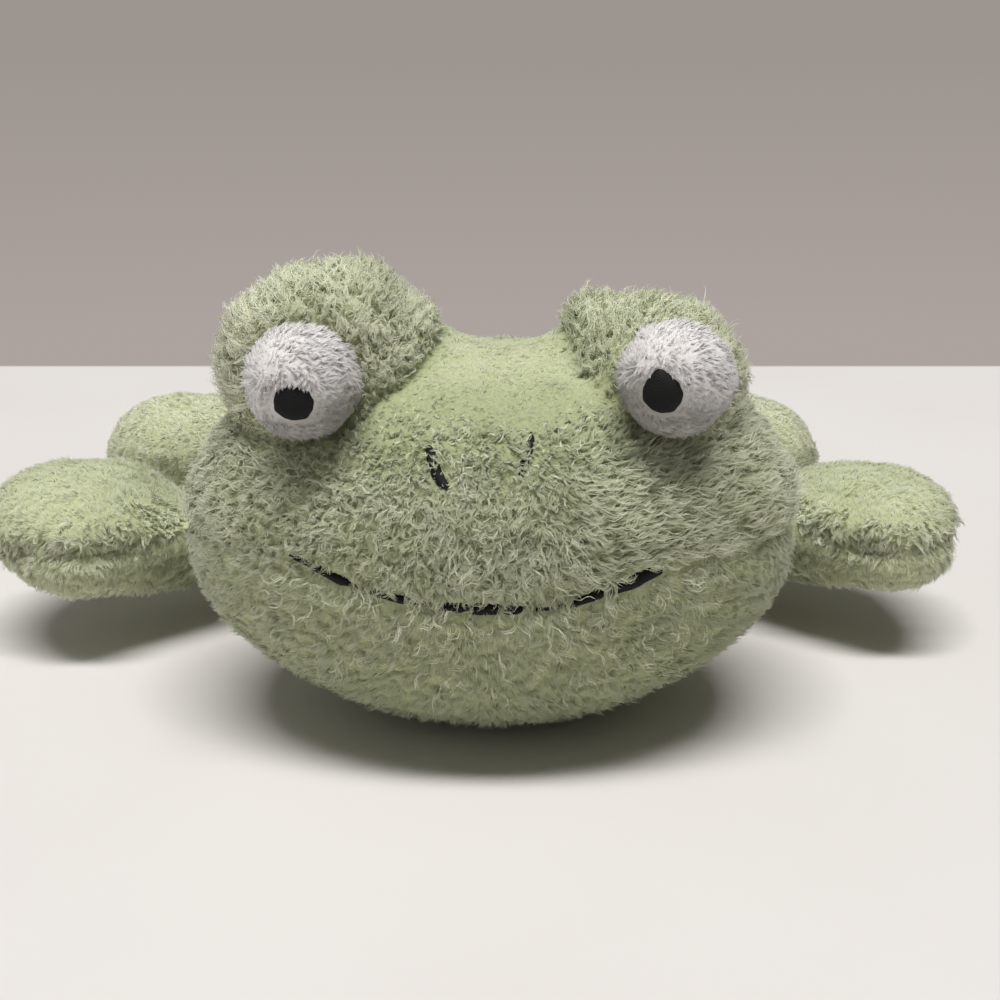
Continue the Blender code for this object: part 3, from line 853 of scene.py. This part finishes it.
# How each stretch of pile lies. perArea: clumps to the square mm. Lengths and widths are in mm, turns in
# degrees, leans are from upright, wander and scatter turn the heading, even shades a fibre as the cloth under
# it, and wisps sets how many strands are pale, partly the fibres' own paleness and partly painted highlights.
pileColumns = ("perArea", "strands", "steps", "length", "startLean", "endLean", "curl", "rise",
               "wander", "wanderSize", "scatter", "spread", "gather", "width", "even", "wisps")
pileRows = {
    "curls": (0.95, 8, 4, 4.2, 34, 84, 74, 22, 38, 10, 26, 0.62, 0.86, 0.15, 0.78, 0.6),
    "frizz": (0.9, 8, 3, 3.9, 36, 84, 60, 22, 38, 10, 26, 0.65, 0.85, 0.165, 0.95, 2.0),
    "plume": (0.98, 9, 4, 4.6, 26, 76, 82, 32, 70, 8, 45, 0.75, 0.86, 0.145, 0.76, 1.1),
    "wisp": (0.6, 3, 5, 5.0, 28, 78, 85, 34, 38, 10, 36, 0.24, 0.95, 0.125, 0.5, 4.0),
    "combed": (0.85, 8, 2, 2.7, 44, 80, 36, 10, 32, 12, 22, 0.75, 0.35, 0.17, 0.92, 0.5),
    "velvet": (1.1, 8, 2, 1.9, 42, 74, 32, 10, 35, 9, 30, 0.75, 0.25, 0.155, 1.0, 0.8),
    "paintedLightVelvet": (0.82, 8, 2, 2.0, 42, 74, 32, 10, 35, 9, 30, 0.85, 0.25, 0.19, 1.0, 3.6),
    "nap": (0.44, 5, 2, 2.6, 42, 76, 38, 12, 35, 11, 26, 1.05, 0.4, 0.36, 1.0, 0.6),
    "tufts": (2.4, 7, 3, 2.3, 42, 80, 34, 14, 26, 5, 20, 0.42, 0.7, 0.115, 0.93, 1.0),
    "down": (2.4, 8, 2, 1.25, 40, 76, 18, 6, 25, 6, 25, 0.42, 0.25, 0.11, 0.96, 0.3),
}
pileLook = {look: dict(zip(pileColumns, row)) for look, row in pileRows.items()}
mostTriangles = 196000  # in one piece


def growPile(label, skinName, look, share, heading, others, seed, material=None, trim=None, room=1.5,
             calm=None):
    # share(places, facing) is how much of this look a place has, heading(places, facing) is which way it lies
    # there, and calm(places) is how well it is combed
    values = pileLook[look]
    random = np.random.default_rng(seed)
    places, facing = rootsOn(skins[skinName], values["perArea"], random)
    flat = (places[:, 2] < 1.0 * mm) & (facing[:, 2] < -0.9)
    # the underside, which the frog lies on, is worn thinner
    wearAndEdgeShade = 1 - 0.45 * smoothStep(-facing[:, 2], 0.45, 0.9) * smoothStep(14 - places[:, 2] / mm, 0, 8)
    keep = (random.random(len(places)) < share(places, facing) * wearAndEdgeShade) & ~flat
    places, facing = places[keep], facing[keep]
    free = ~shutIn(places, facing, others, room)
    places, facing = places[free], facing[free]
    clumps = clumpsAt(places, facing, heading(places, facing), values, random,
                      calm(places) if calm else np.zeros(len(places)))
    if trim:
        clumps = trim(clumps)
    # a wide stretch is parted into strips from left to right
    most = mostTriangles // ((2 * values["steps"] - 1) * values["strands"])
    parts = math.ceil(len(clumps["root"]) / most)
    order = np.argsort(clumps["root"][:, 0], kind="stable")
    body = bodyOfNode(skinNodes[skinName][0])
    for index, chunk in enumerate(np.array_split(order, parts)):
        name = label if parts == 1 else label + "_" + str(index + 1)
        strandPiece(name, body, material or pileGreen,
                    kept(clumps, chunk), values["strands"], values["steps"], seed + 1000 + index)


headPanels = ("head_top_panel", "head_chin_panel", "eye_hood_left", "eye_hood_right")


def onPanels(places, *panels):
    # how surely a place lies on one of these panels, with a soft edge 2 mm wide
    far = {node: nearness(places, node) / mm for node in headPanels}
    inside = np.min([far[node] for node in panels], axis=0)
    outside = np.min([far[node] for node in headPanels if node not in panels], axis=0)
    return smoothStep(outside - inside, -1.0, 1.0)


def frontShare(places):
    y, z = (places / mm)[:, [1, 2]].T
    return np.maximum(smoothStep(-y, 84, 96), smoothStep(z, 60, 70) * smoothStep(-y, 72, 84))


def browShare(places):
    x, y, z = (places / mm).T
    return smoothStep(z - 0.03 * np.abs(x - 2) + 1.5 * drift(places, 16, 5), 69, 76)


def faceHeading(places, facing):
    x, y, z = (places / mm).T
    right = smoothStep(x, 3, 24)[:, None]
    left = smoothStep(-x, 8, 28)[:, None]
    heading = (right * [0.85, 0, 0.42] + left * [-0.6, 0, -0.7] + (1 - right - left) * [0.12, 0, -1.0])
    brow = smoothStep(z, 64, 74)[:, None]
    heading = heading * (1 - brow) + brow * np.array([0.3, 0.1, 0.9])
    back = smoothStep(y, -108, -88)[:, None]
    return heading * (1 - back) + back * np.array([0, 1.0, -0.3])


def faceCalm(places):
    # the cheek on the right is combed outward and up
    x, _, z = (places / mm).T
    return 0.6 * smoothStep(x, 6, 22) * smoothStep(78 - z, 0, 12)


def chinHeading(places, facing):
    x, y, _ = (places / mm).T
    heading = np.stack([x / 32, np.zeros(len(x)), np.full(len(x), -0.7)], 1)
    back = smoothStep(y, -108, -88)[:, None]
    return heading * (1 - back) + back * np.array([0, 1.0, -0.5])


def hoodHeading(places, facing):
    side = np.sign(places[:, :1])
    return 0.4 * facing + np.array([0, 0.2, 0.35]) + side * np.array([0.2, 0, 0])


def faceShade(places):
    # painted shade: curls are darkened where they stand in each other's shade on the brow and the snout, and
    # the pile is darkened towards the chin
    x, y, z = (places / mm).T
    brow = (0.38 - 0.22 * smoothStep(np.abs(x), 18, 32)) * smoothStep(80 - z, 0, 6) * smoothStep(z, 58, 68)
    low = 0.1 + 0.37 * smoothStep(46 - z + 0.12 * x, 0, 34)
    return np.where(y < -84, np.maximum(brow, low * smoothStep(64 - z, 0, 14)), 0.1)


# The pile round the nostrils: how close it comes and how its length grows from there in mm, and which share of
# it laps over them by how much, from which side and down to how far below their middles
nostrilPile = {
    "nostril_left": {"bare": 0.45, "reach": 0.8, "lapping": 2.1, "share": 0.7, "from": 1, "down": 0.2},
    "nostril_right": {"bare": 0.2, "reach": 0.9, "lapping": 2.1, "share": 0.85, "from": -1, "down": 5.0},
}


def trimFace(clumps):
    # the pile is parted for the mouth and the nostrils, and hangs over the mouth in three places
    x, y, z = (clumps["root"] / mm).T
    # painted shade on the brow, snout, chin and crease
    clumps["shade"] = np.maximum(faceShade(clumps["root"]), creaseShade(clumps["root"]))
    # painted highlights: more pale strands low on the right of the snout and on the left cheek, where light
    # catches the pile
    clumps["tint"] = clumps["tint"] + 0.9 * np.exp(-((x - 37) / 9) ** 2 - ((z - 47) / 6) ** 2)
    clumps["tint"] = clumps["tint"] + 0.5 * smoothStep(-x, 30, 46) * (z > 44)
    clumps["length"] = clumps["length"] * (1 - 0.4 * smoothStep(z, 58, 72) * (y < -90))
    clumps["length"] = clumps["length"] * (1 - 0.2 * smoothStep(-x, 4, 18) * (z > 46))
    dice = np.modf(clumps["phase"] * 7)[0]
    onFace = y < -112
    above = z - mouthHeight(x)
    covered = np.zeros(len(x), bool)
    for start, end in mouthCovered:
        covered |= (x > start) & (x < end)
    inMouth = (x > mouthLine[0][0] - 0.5) & (x < mouthLine[-1][0] + 0.5) & onFace
    half = mouthHalf(x)
    keep = ~(inMouth & ~covered & (above > -half) & (above < half + 0.25))
    # curls over the covered stretches hang straight down, and some chin pile laps the mouth's lower edge
    hang = inMouth & covered & (above > -1.5) & (above < 4)
    lap = inMouth & ~covered & (above < 0) & (above > -2.6) & (dice < 0.3)
    turned = np.where(hang[:, None], [0.25, 0, -1.0], np.where(lap[:, None], [0.2, 0, 1.0], clumps["heading"]))
    facing = clumps["normal"]
    clumps["heading"] = unit(turned - facing * (turned * facing).sum(1, keepdims=True))
    drop = np.maximum(-clumps["heading"][:, 2], 0.3)
    stray = dice > 0.86 - 0.16 * np.exp(-((x - 1) / 9) ** 2)  # a few hang over all the same
    over = inMouth & (above > 0) & (above < 6) & ~covered & ~stray & (clumps["heading"][:, 2] < 0.2)
    room = np.maximum((np.maximum(above - half - 0.2, 0) + 0.5) / drop, 0.8)
    clumps["length"] = np.where(over, np.minimum(clumps["length"], room), clumps["length"])
    under = inMouth & (above < 0) & (above > -6) & ~covered & (clumps["heading"][:, 2] > 0)
    room = np.maximum(np.maximum(-above - half, 0) + np.where(dice < 0.4, 1.1, 0.5), 0.9)
    clumps["length"] = np.where(under, np.minimum(clumps["length"], room), clumps["length"])
    for node, values in nostrilPile.items():
        far = nearness(clumps["root"], node) / mm
        middle = frameMiddle(node) / mm
        keep &= ~((far < values["bare"]) & onFace)
        side = np.sign(x - middle.x)
        lap = (dice < values["share"]) & (side == values["from"]) & (far < 2.5)
        lap &= z > middle.z - values["down"]
        toward = -side[:, None] * [1, 0, 0] + np.array([0, 0, 0.25])
        toward = unit(toward - facing * (toward * facing).sum(1, keepdims=True))
        clumps["heading"] = np.where((lap & onFace)[:, None], toward, clumps["heading"])
        room = 0.5 + far * values["reach"] + np.where(lap, values["lapping"], 0.0)
        clumps["length"] = np.where((far < 4) & onFace, np.minimum(clumps["length"], room), clumps["length"])
    return kept(clumps, keep)


def trimCurls(clumps):
    # the curls lie flatter and shorter as they thin out towards the forehead, and are matted on the brow
    clumps = trimFace(clumps)
    matted = smoothStep(clumps["root"][:, 2] / mm, 52, 68)
    clumps["even"] = clumps["even"] + (0.96 - clumps["even"]) * matted
    fade = smoothStep(browShare(clumps["root"]), 0, 0.7) * (clumps["root"][:, 1] < -90 * mm)
    clumps["length"] = clumps["length"] * (1 - 0.45 * fade)
    for key in ("startLean", "endLean"):
        clumps[key] = clumps[key] + np.radians(16) * fade
    clumps["width"] = clumps["width"] * (1 - 0.2 * fade)
    return clumps


def creaseShade(places):
    # the pile is dark in the crease between a hood and the forehead, more so on the left
    x = places[:, 0] / mm
    apart = [nearness(places, "eye_hood_" + side) - nearness(places, "head_top_panel") for side in sides]
    dark = np.where(x < 0, 0.62, 0.35) * smoothStep(38 - np.abs(x), 0, 8)
    return dark * np.exp(-(np.where(x < 0, apart[0], apart[1]) / mm / 2.6) ** 2)


def trimHood(clumps):
    # the hoods' long pile shortens where it runs into the head's, where painted shade darkens it as in the
    # crease, and it is painted paler on the left, inner and outer sides, as painted light
    x, _, z = (clumps["root"] / mm).T
    far = nearness(clumps["root"], "head_top_panel") / mm
    clumps["length"] = clumps["length"] * (0.5 + 0.5 * smoothStep(far, 0, 6))
    # painted shade where the hood meets the head and in the crease
    clumps["shade"] = np.maximum(0.2 * smoothStep(5 - far, 0, 5), creaseShade(clumps["root"]))
    # painted light: paler strands on the left, the right outer side and the left inner side
    clumps["tint"] = clumps["tint"] + 1.7 * smoothStep(-x, 36, 47) + 0.4 * (x < 0) + 0.7 * smoothStep(x, 36, 45)
    inner = (x < 0) * smoothStep(x, -34, -24) * smoothStep(z, 74, 82) * (1 - smoothStep(z, 87, 93))
    clumps["tint"] = clumps["tint"] + 0.9 * inner
    return clumps


headPlaces = points(skins["head_skin"])
# painted shade on the head's backing, as on its pile
setAttribute(skins["head_skin"].data, "shade", np.maximum(faceShade(headPlaces), creaseShade(headPlaces)))
aroundHead = ["torso_skin", "eyeball_skin_left", "eyeball_skin_right"]


def growOnHead(label, look, panels, share, heading, seed, trim=None, calm=None):
    growPile(label, "head_skin", look, lambda p, n: onPanels(p, *panels) * share(p), heading, aroundHead, seed,
             trim=trim, calm=calm)


def faceShare(p):
    return frontShare(p) * (1 - browShare(p))


def foreheadShare(p):
    return frontShare(p) * np.maximum(browShare(p), 0.75 * smoothStep(p[:, 2] / mm, 50, 62))


def chinWispShare(p):
    near = smoothStep(-np.abs(p[:, 0]) / mm, -46, -30)
    return frontShare(p) * 0.35 * smoothStep(p[:, 2] / mm, 16, 34) * near


topPanel, chinPanel, hoods = headPanels[:1], headPanels[1:2], headPanels[2:]
growOnHead("head_face_pile", "curls", topPanel, faceShare, faceHeading, 21, trimCurls, faceCalm)
growOnHead("head_forehead_pile", "velvet", topPanel, foreheadShare, faceHeading, 22, trimFace)
growOnHead("head_chin_pile", "combed", chinPanel, frontShare, chinHeading, 23, trimFace)
growOnHead("hood_pile", "plume", hoods, lambda p: 1.0, hoodHeading, 24, trimHood)
growOnHead("hood_wisps", "wisp", hoods, lambda p: 1.0, hoodHeading, 26, trimHood)
growOnHead("head_face_wisps", "wisp", topPanel, faceShare, faceHeading, 27, trimCurls, faceCalm)
growOnHead("head_chin_wisps", "wisp", chinPanel, chinWispShare, chinHeading, 28, trimFace)
growOnHead("head_back_pile", "nap", headPanels[:2], lambda p: 1 - frontShare(p), faceHeading, 25)
print("head pile grown")


def limbHeading(places, facing):
    side = np.sign(places[:, :1])
    return side * np.array([1.0, 0, 0]) + np.array([0, 0.25, 0.1]) + facing[:, 2:3] * np.array([0, 0.5, 0])


def overhang(places, facing):
    side = np.sign(places[:, :1])
    return side * np.array([0.35, 0, 0]) + np.array([0, 0, -1.0])


def pawShares(places, facing):
    # how far a place on an arm is smooth top, curls along the fold, and smooth underside
    height = places[:, 2] / mm + 1.6 * drift(places, 9, 6) - foldHeight(places)
    # the root's top lies low at the back
    low = rootShare(places) * smoothStep(places[:, 1] / mm, -62, -52)
    height = height + 14 * low * smoothStep(facing[:, 2], 0.1, 0.6)
    top = smoothStep(height, 4.0, 7.5)
    curls = (1 - top) * smoothStep(height, -0.8, 1.0)
    return top, curls, 1 - top - curls


def trimUnder(clumps):
    # painted shade darkens the arms' roots underneath, and more of the under pile's strands are pale
    clumps["shade"] = 0.6 * rootShare(clumps["root"])
    clumps["tint"] = clumps["tint"] + 0.6
    return clumps


def legShare(places, facing):
    # how surely a place lies on a leg's upward-facing top, whose pile is painted paler as painted light
    return smoothStep(facing[:, 2], 0.15, 0.4)


def growOnLimb(limb, part, look, share, heading, seed, trim=None):
    growPile(limb + "_" + part, limb + "_skin", look, share, heading, ["torso_skin"], seed, trim=trim)


for index, limb in enumerate(limbs):
    seed = 31 + 10 * index
    if limb.startswith("arm"):
        growOnLimb(limb, "top_pile", "velvet", lambda p, n: pawShares(p, n)[0], limbHeading, seed)
        growOnLimb(limb, "curls", "frizz", lambda p, n: pawShares(p, n)[1], overhang, seed + 1)
        growOnLimb(limb, "under_pile", "combed", lambda p, n: pawShares(p, n)[2], overhang, seed + 2,
                   trimUnder)
    else:
        growOnLimb(limb, "top_pile", "paintedLightVelvet", legShare, limbHeading, seed)
        growOnLimb(limb, "under_pile", "nap", lambda p, n: 1 - legShare(p, n), limbHeading, seed + 1)
print("limb pile grown")


def torsoHeading(places, facing):
    return np.array([0.0, 1.0, -0.1]) + facing * np.array([0.3, 0, 0.2])


growPile("torso_pile", "torso_skin", "nap", lambda p, n: np.ones(len(p)), torsoHeading,
         ["head_skin"] + [limb + "_skin" for limb in limbs], 81)
print("torso pile grown")


# Pupils: half widths and half heights in mm, the slant of their threads in degrees, how square they are, how
# far their top runs up into a point and how uneven the edge is
pupilLook = {
    "left": dict(wide=3.55, high=3.2, slant=62, square=2.4, point=0.0, uneven=0.022),
    "right": dict(wide=3.7, high=3.45, slant=70, square=2.15, point=0.33, uneven=0.02),
}
# The painted shade on the eyeballs' lower part: the share of the distance across that counts as down, and how
# far below the middle it starts, in mm
eyeSlant = {"left": -0.32, "right": 0.2}
eyeShadeOffset = {"left": 0.3, "right": -1.5}


def pupilFrame(side):
    middle = np.array(frameMiddle("eyeball_filling_" + side))
    outward = unit((np.array(frameMiddle("pupil_" + side)) - middle)[None])[0]
    across = unit(np.cross([[0, 0, 1.0]], outward[None]))[0]
    return middle, outward, across, np.cross(outward, across)


def pupilEdge(side, turn):
    # how far out the edge lies in each direction round the pupil, turn being from across towards up
    values = pupilLook[side]
    square = np.abs(np.cos(turn)) ** values["square"] + np.abs(np.sin(turn)) ** values["square"]
    waves = np.sin(4 * turn + 0.6) + 0.8 * np.sin(7 * turn + 2.1) + 0.7 * np.sin(11 * turn)
    fromTop = np.mod(turn - math.radians(97) + math.pi, 2 * math.pi) - math.pi
    point = values["point"] * np.exp(-(fromTop / 0.46) ** 2)
    return (1 + values["uneven"] * waves + point) / square ** (1 / values["square"])


def outsidePupil(side, places):
    # how far a place on the eyeball lies outside the stitched pupil, in mm
    values = pupilLook[side]
    middle, outward, across, upward = pupilFrame(side)
    radial = unit(places - middle) * 9.9
    up, aside = radial @ upward / values["high"], radial @ across / values["wide"]
    edge = pupilEdge(side, np.arctan2(up, aside))
    far = (np.hypot(aside, up) / edge - 1) * min(values["wide"], values["high"])
    return np.where(radial @ outward > 0, far, 20.0)


def eyeShade(side, places):
    # painted shade: an eyeball is darker low down and on the side towards the nose
    across, _, up = ((places - np.array(frameMiddle("eyeball_filling_" + side))) / mm).T
    return 0.6 * smoothStep(-up - eyeSlant[side] * across - eyeShadeOffset[side], 0, 6)


def growEye(side, seed):
    middle = np.array(frameMiddle("eyeball_filling_" + side))
    pupil = np.array(frameMiddle("pupil_" + side))
    ball = skins["eyeball_skin_" + side]
    # painted shade on the eyeball's backing
    setAttribute(ball.data, "shade", eyeShade(side, points(ball)))

    def upper(places, facing):
        # the tufts lie above the pupil and to its right
        across, _, up = ((places - middle) / mm).T
        return smoothStep(up + 0.3 * np.clip(across, -2, 6) + drift(places, 5, 7), -0.5, 2.5)

    def heading(places, facing):
        # outward from the pupil and to the right, but straight down over its upper edge
        away = places - pupil
        far = np.linalg.norm(away, axis=1) / mm
        over = (smoothStep(away[:, 2] / mm, 1.5, 3) * smoothStep(7.5 - far, 0, 2.5))[:, None]
        return (unit(away) * 0.6 + np.array([0.55, 0, -0.35])) * (1 - over) + over * np.array([0.35, 0, -1.0])

    def trim(clumps):
        # the pile stops at the pupil, but for the tufts that hang over its upper edge
        far = outsidePupil(side, clumps["root"])
        dice = np.modf(clumps["phase"] * 7)[0]
        over = (clumps["root"] - pupil)[:, 2] / mm > 1.5
        limit = np.where(over, 1.2, 0.3 + 0.4 * dice) + np.maximum(far, 0)
        clumps["length"] = np.minimum(clumps["length"], limit)
        lifted = over & (far < 3)
        clumps["startLean"] = np.where(lifted, np.radians(28), clumps["startLean"])
        clumps["endLean"] = np.where(lifted, np.radians(64), clumps["endLean"])
        # painted shade on the eyeball's pile
        clumps["shade"] = eyeShade(side, clumps["root"])
        return kept(clumps, far > np.where(over, 0.1, 0.25))

    growPile("eyeball_tufts_" + side, ball.name, "tufts", upper, heading, ["head_skin"], seed, pileWhite, trim,
             0.8)
    growPile("eyeball_down_" + side, ball.name, "down", lambda p, n: 1 - upper(p, n), heading, ["head_skin"],
             seed + 1, pileWhite, trim, 0.8)


growEye("left", 91)
growEye("right", 95)
print("eye pile grown")

# Satin stitching: rows of thread laid side by side
stitchValues = {
    "pitch": 0.38,
    "mouthThickness": 0.9,
    "mouthSunk": 0.25,
    "nostrilHalfWidth": {"left": 1.05, "right": 0.8},
    "nostrilThickness": 0.6,
    "pupilThickness": 0.55,
    "sink": 0.5,
}


def stitchedBand(name, line, halfWidths, thickness, node):
    # line holds places on the skin and its normals there. Each stitch crosses the band as a rounded ridge.
    places, facing = line
    steps = np.linalg.norm(np.diff(places, axis=0), axis=1)
    gone = np.concatenate([[0], np.cumsum(steps)])
    rows = int(gone[-1] / (stitchValues["pitch"] * mm / 3))
    at = np.linspace(0, gone[-1], rows)
    middle = np.stack([np.interp(at, gone, places[:, i]) for i in range(3)], 1)
    up = unit(np.stack([np.interp(at, gone, facing[:, i]) for i in range(3)], 1))
    half = np.interp(at, gone, halfWidths) * mm
    high = np.interp(at, gone, np.broadcast_to(thickness, len(places))) * mm
    ahead = unit(np.gradient(middle, axis=0))
    aside = unit(np.cross(up, ahead))
    ridge = np.abs(np.sin(math.pi * at / (stitchValues["pitch"] * mm)))
    around = 12
    shape = bmesh.new()
    rings = []
    for i in range(rows):
        ring = []
        for k in range(around):
            angle = 2 * math.pi * k / around
            level = math.sin(angle)
            rise = high[i] * (0.72 + 0.28 * ridge[i]) if level > 0 else stitchValues["sink"] * mm
            wide = half[i] * (0.94 + 0.06 * ridge[i])
            skew = ahead[i] * math.cos(angle) * stitchValues["pitch"] * mm * 0.8
            place = middle[i] + aside[i] * math.cos(angle) * wide + up[i] * level * rise + skew
            ring.append(shape.verts.new(place))
        rings.append(ring)
    for a, b in zip(rings, rings[1:]):
        for k in range(around):
            shape.faces.new((a[k], a[(k + 1) % around], b[(k + 1) % around], b[k]))
    shape.faces.new(rings[0][::-1])
    shape.faces.new(rings[-1])
    bmesh.ops.recalc_face_normals(shape, faces=shape.faces)
    mesh = bpy.data.meshes.new(name)
    shape.to_mesh(mesh)
    shape.free()
    mesh.shade_smooth()
    mesh.materials.append(satinThread)
    obj = bpy.data.objects.new(name, mesh)
    scene.collection.objects.link(obj)
    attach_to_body(obj, "head")
    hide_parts(node)
    return obj


def faceLine(ends, count):
    # places on the head's skin straight behind a line drawn on the face
    xs, zs = np.array([end[:2] for end in ends]).T * mm
    gone = np.concatenate([[0], np.cumsum(np.hypot(np.diff(xs), np.diff(zs)))])
    at = np.linspace(0, gone[-1], count)
    places, facing = [], []
    for x, z in zip(np.interp(at, gone, xs), np.interp(at, gone, zs)):
        place, normal, _, _ = skinTrees["head_skin"].ray_cast(Vector((x, -0.3, z)), Vector((0, 1, 0)))
        places.append(place)
        facing.append(normal)
    for _ in range(3):  # the skin's facets are evened out
        facing = [(a + b + c).normalized() for a, b, c in
                  zip([facing[0]] + facing[:-1], facing, facing[1:] + [facing[-1]])]
    return np.array(places), np.array(facing)


def tapered(count, half, endShare):
    t = np.linspace(-1, 1, count)
    return half * (endShare + (1 - endShare) * np.sqrt(np.clip(1 - np.abs(t) ** 6, 0, 1)))


mouthPlaces, mouthFacing = faceLine(mouthLine, 160)
mouthAcross = mouthPlaces[:, 0] / mm
mouthHalves = mouthHalf(mouthAcross) * (1 + 0.14 * drift(mouthPlaces, 9, 3))
# the stitching lies deeper where curls cover it
mouthRise = np.full(len(mouthAcross), stitchValues["mouthThickness"])
for start, end in mouthCovered:
    hidden = smoothStep(mouthAcross, start - 0.6, start + 0.4)
    hidden = hidden * smoothStep(-mouthAcross, -end - 0.6, -end + 0.4)
    mouthHalves = mouthHalves * (1 - 0.45 * hidden)
    mouthRise = mouthRise * (1 - hidden) + stitchValues["mouthSunk"] * hidden
stitchedBand("mouth_embroidery_thread", (mouthPlaces, mouthFacing), mouthHalves, mouthRise, "mouth_embroidery")
nostrilEnds = {
    "left": [(-10.7, 68.5), (-10.4, 66.6), (-9.5, 64.3), (-7.8, 61.9)],
    "right": [(7.3, 70.4), (6.5, 67.4), (5.0, 63.8)],
}
for side in sides:
    stitchedBand("nostril_thread_" + side, faceLine(nostrilEnds[side], 14),
                 tapered(14, stitchValues["nostrilHalfWidth"][side], 0.4),
                 stitchValues["nostrilThickness"], "nostril_" + side)


def stitchedPupil(side):
    values = pupilLook[side]
    middle, outward, across, upward = pupilFrame(side)
    ball = skinTrees["eyeball_skin_" + side]
    place = ball.ray_cast(Vector(middle + outward * 0.03), Vector(-outward))[0]
    radius = np.linalg.norm(np.array(place) - middle)
    slant = math.radians(values["slant"])
    threads = int(2 * max(values["wide"], values["high"]) / stitchValues["pitch"])
    rows, columns = threads * 4 + 1, 15
    bpy.ops.object.select_all(action="DESELECT")
    bpy.ops.mesh.primitive_grid_add(x_subdivisions=rows - 1, y_subdivisions=columns - 1, size=2)
    pupil = bpy.context.object
    pupil.name = "pupil_thread_" + side
    flat = points(pupil)
    a = flat[:, 0]
    b = flat[:, 1] * np.sqrt(np.clip(1 - np.abs(a) ** 2, 0.0004, 1))
    edge = np.clip(np.hypot(a, b), 0, 1)
    aside, up = a * math.cos(slant) - b * math.sin(slant), a * math.sin(slant) + b * math.cos(slant)
    reach = pupilEdge(side, np.arctan2(up, aside))
    u, v = aside * reach * values["wide"] * mm, up * reach * values["high"] * mm
    ridge = np.abs(np.sin(math.pi * flat[:, 0] * threads / 2))
    rise = stitchValues["pupilThickness"] * mm * (1 - 0.75 * edge ** 5) * (0.8 + 0.2 * ridge)
    ways = unit(outward + (across * u[:, None] + upward * v[:, None]) / radius)
    setPoints(pupil, middle + ways * (radius + rise)[:, None])
    applyModifier(pupil, "SOLIDIFY", thickness=1.1 * mm, offset=-1)
    bpy.ops.object.mode_set(mode="EDIT")
    bpy.ops.mesh.select_all(action="SELECT")
    bpy.ops.mesh.normals_make_consistent(inside=False)
    bpy.ops.object.mode_set(mode="OBJECT")
    pupil.data.shade_smooth()
    pupil.location = (0, 0, 0)
    pupil.data.materials.append(satinThread)
    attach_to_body(pupil, "head")
    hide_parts("pupil_" + side)


for side in sides:
    stitchedPupil(side)
print("stitching done")
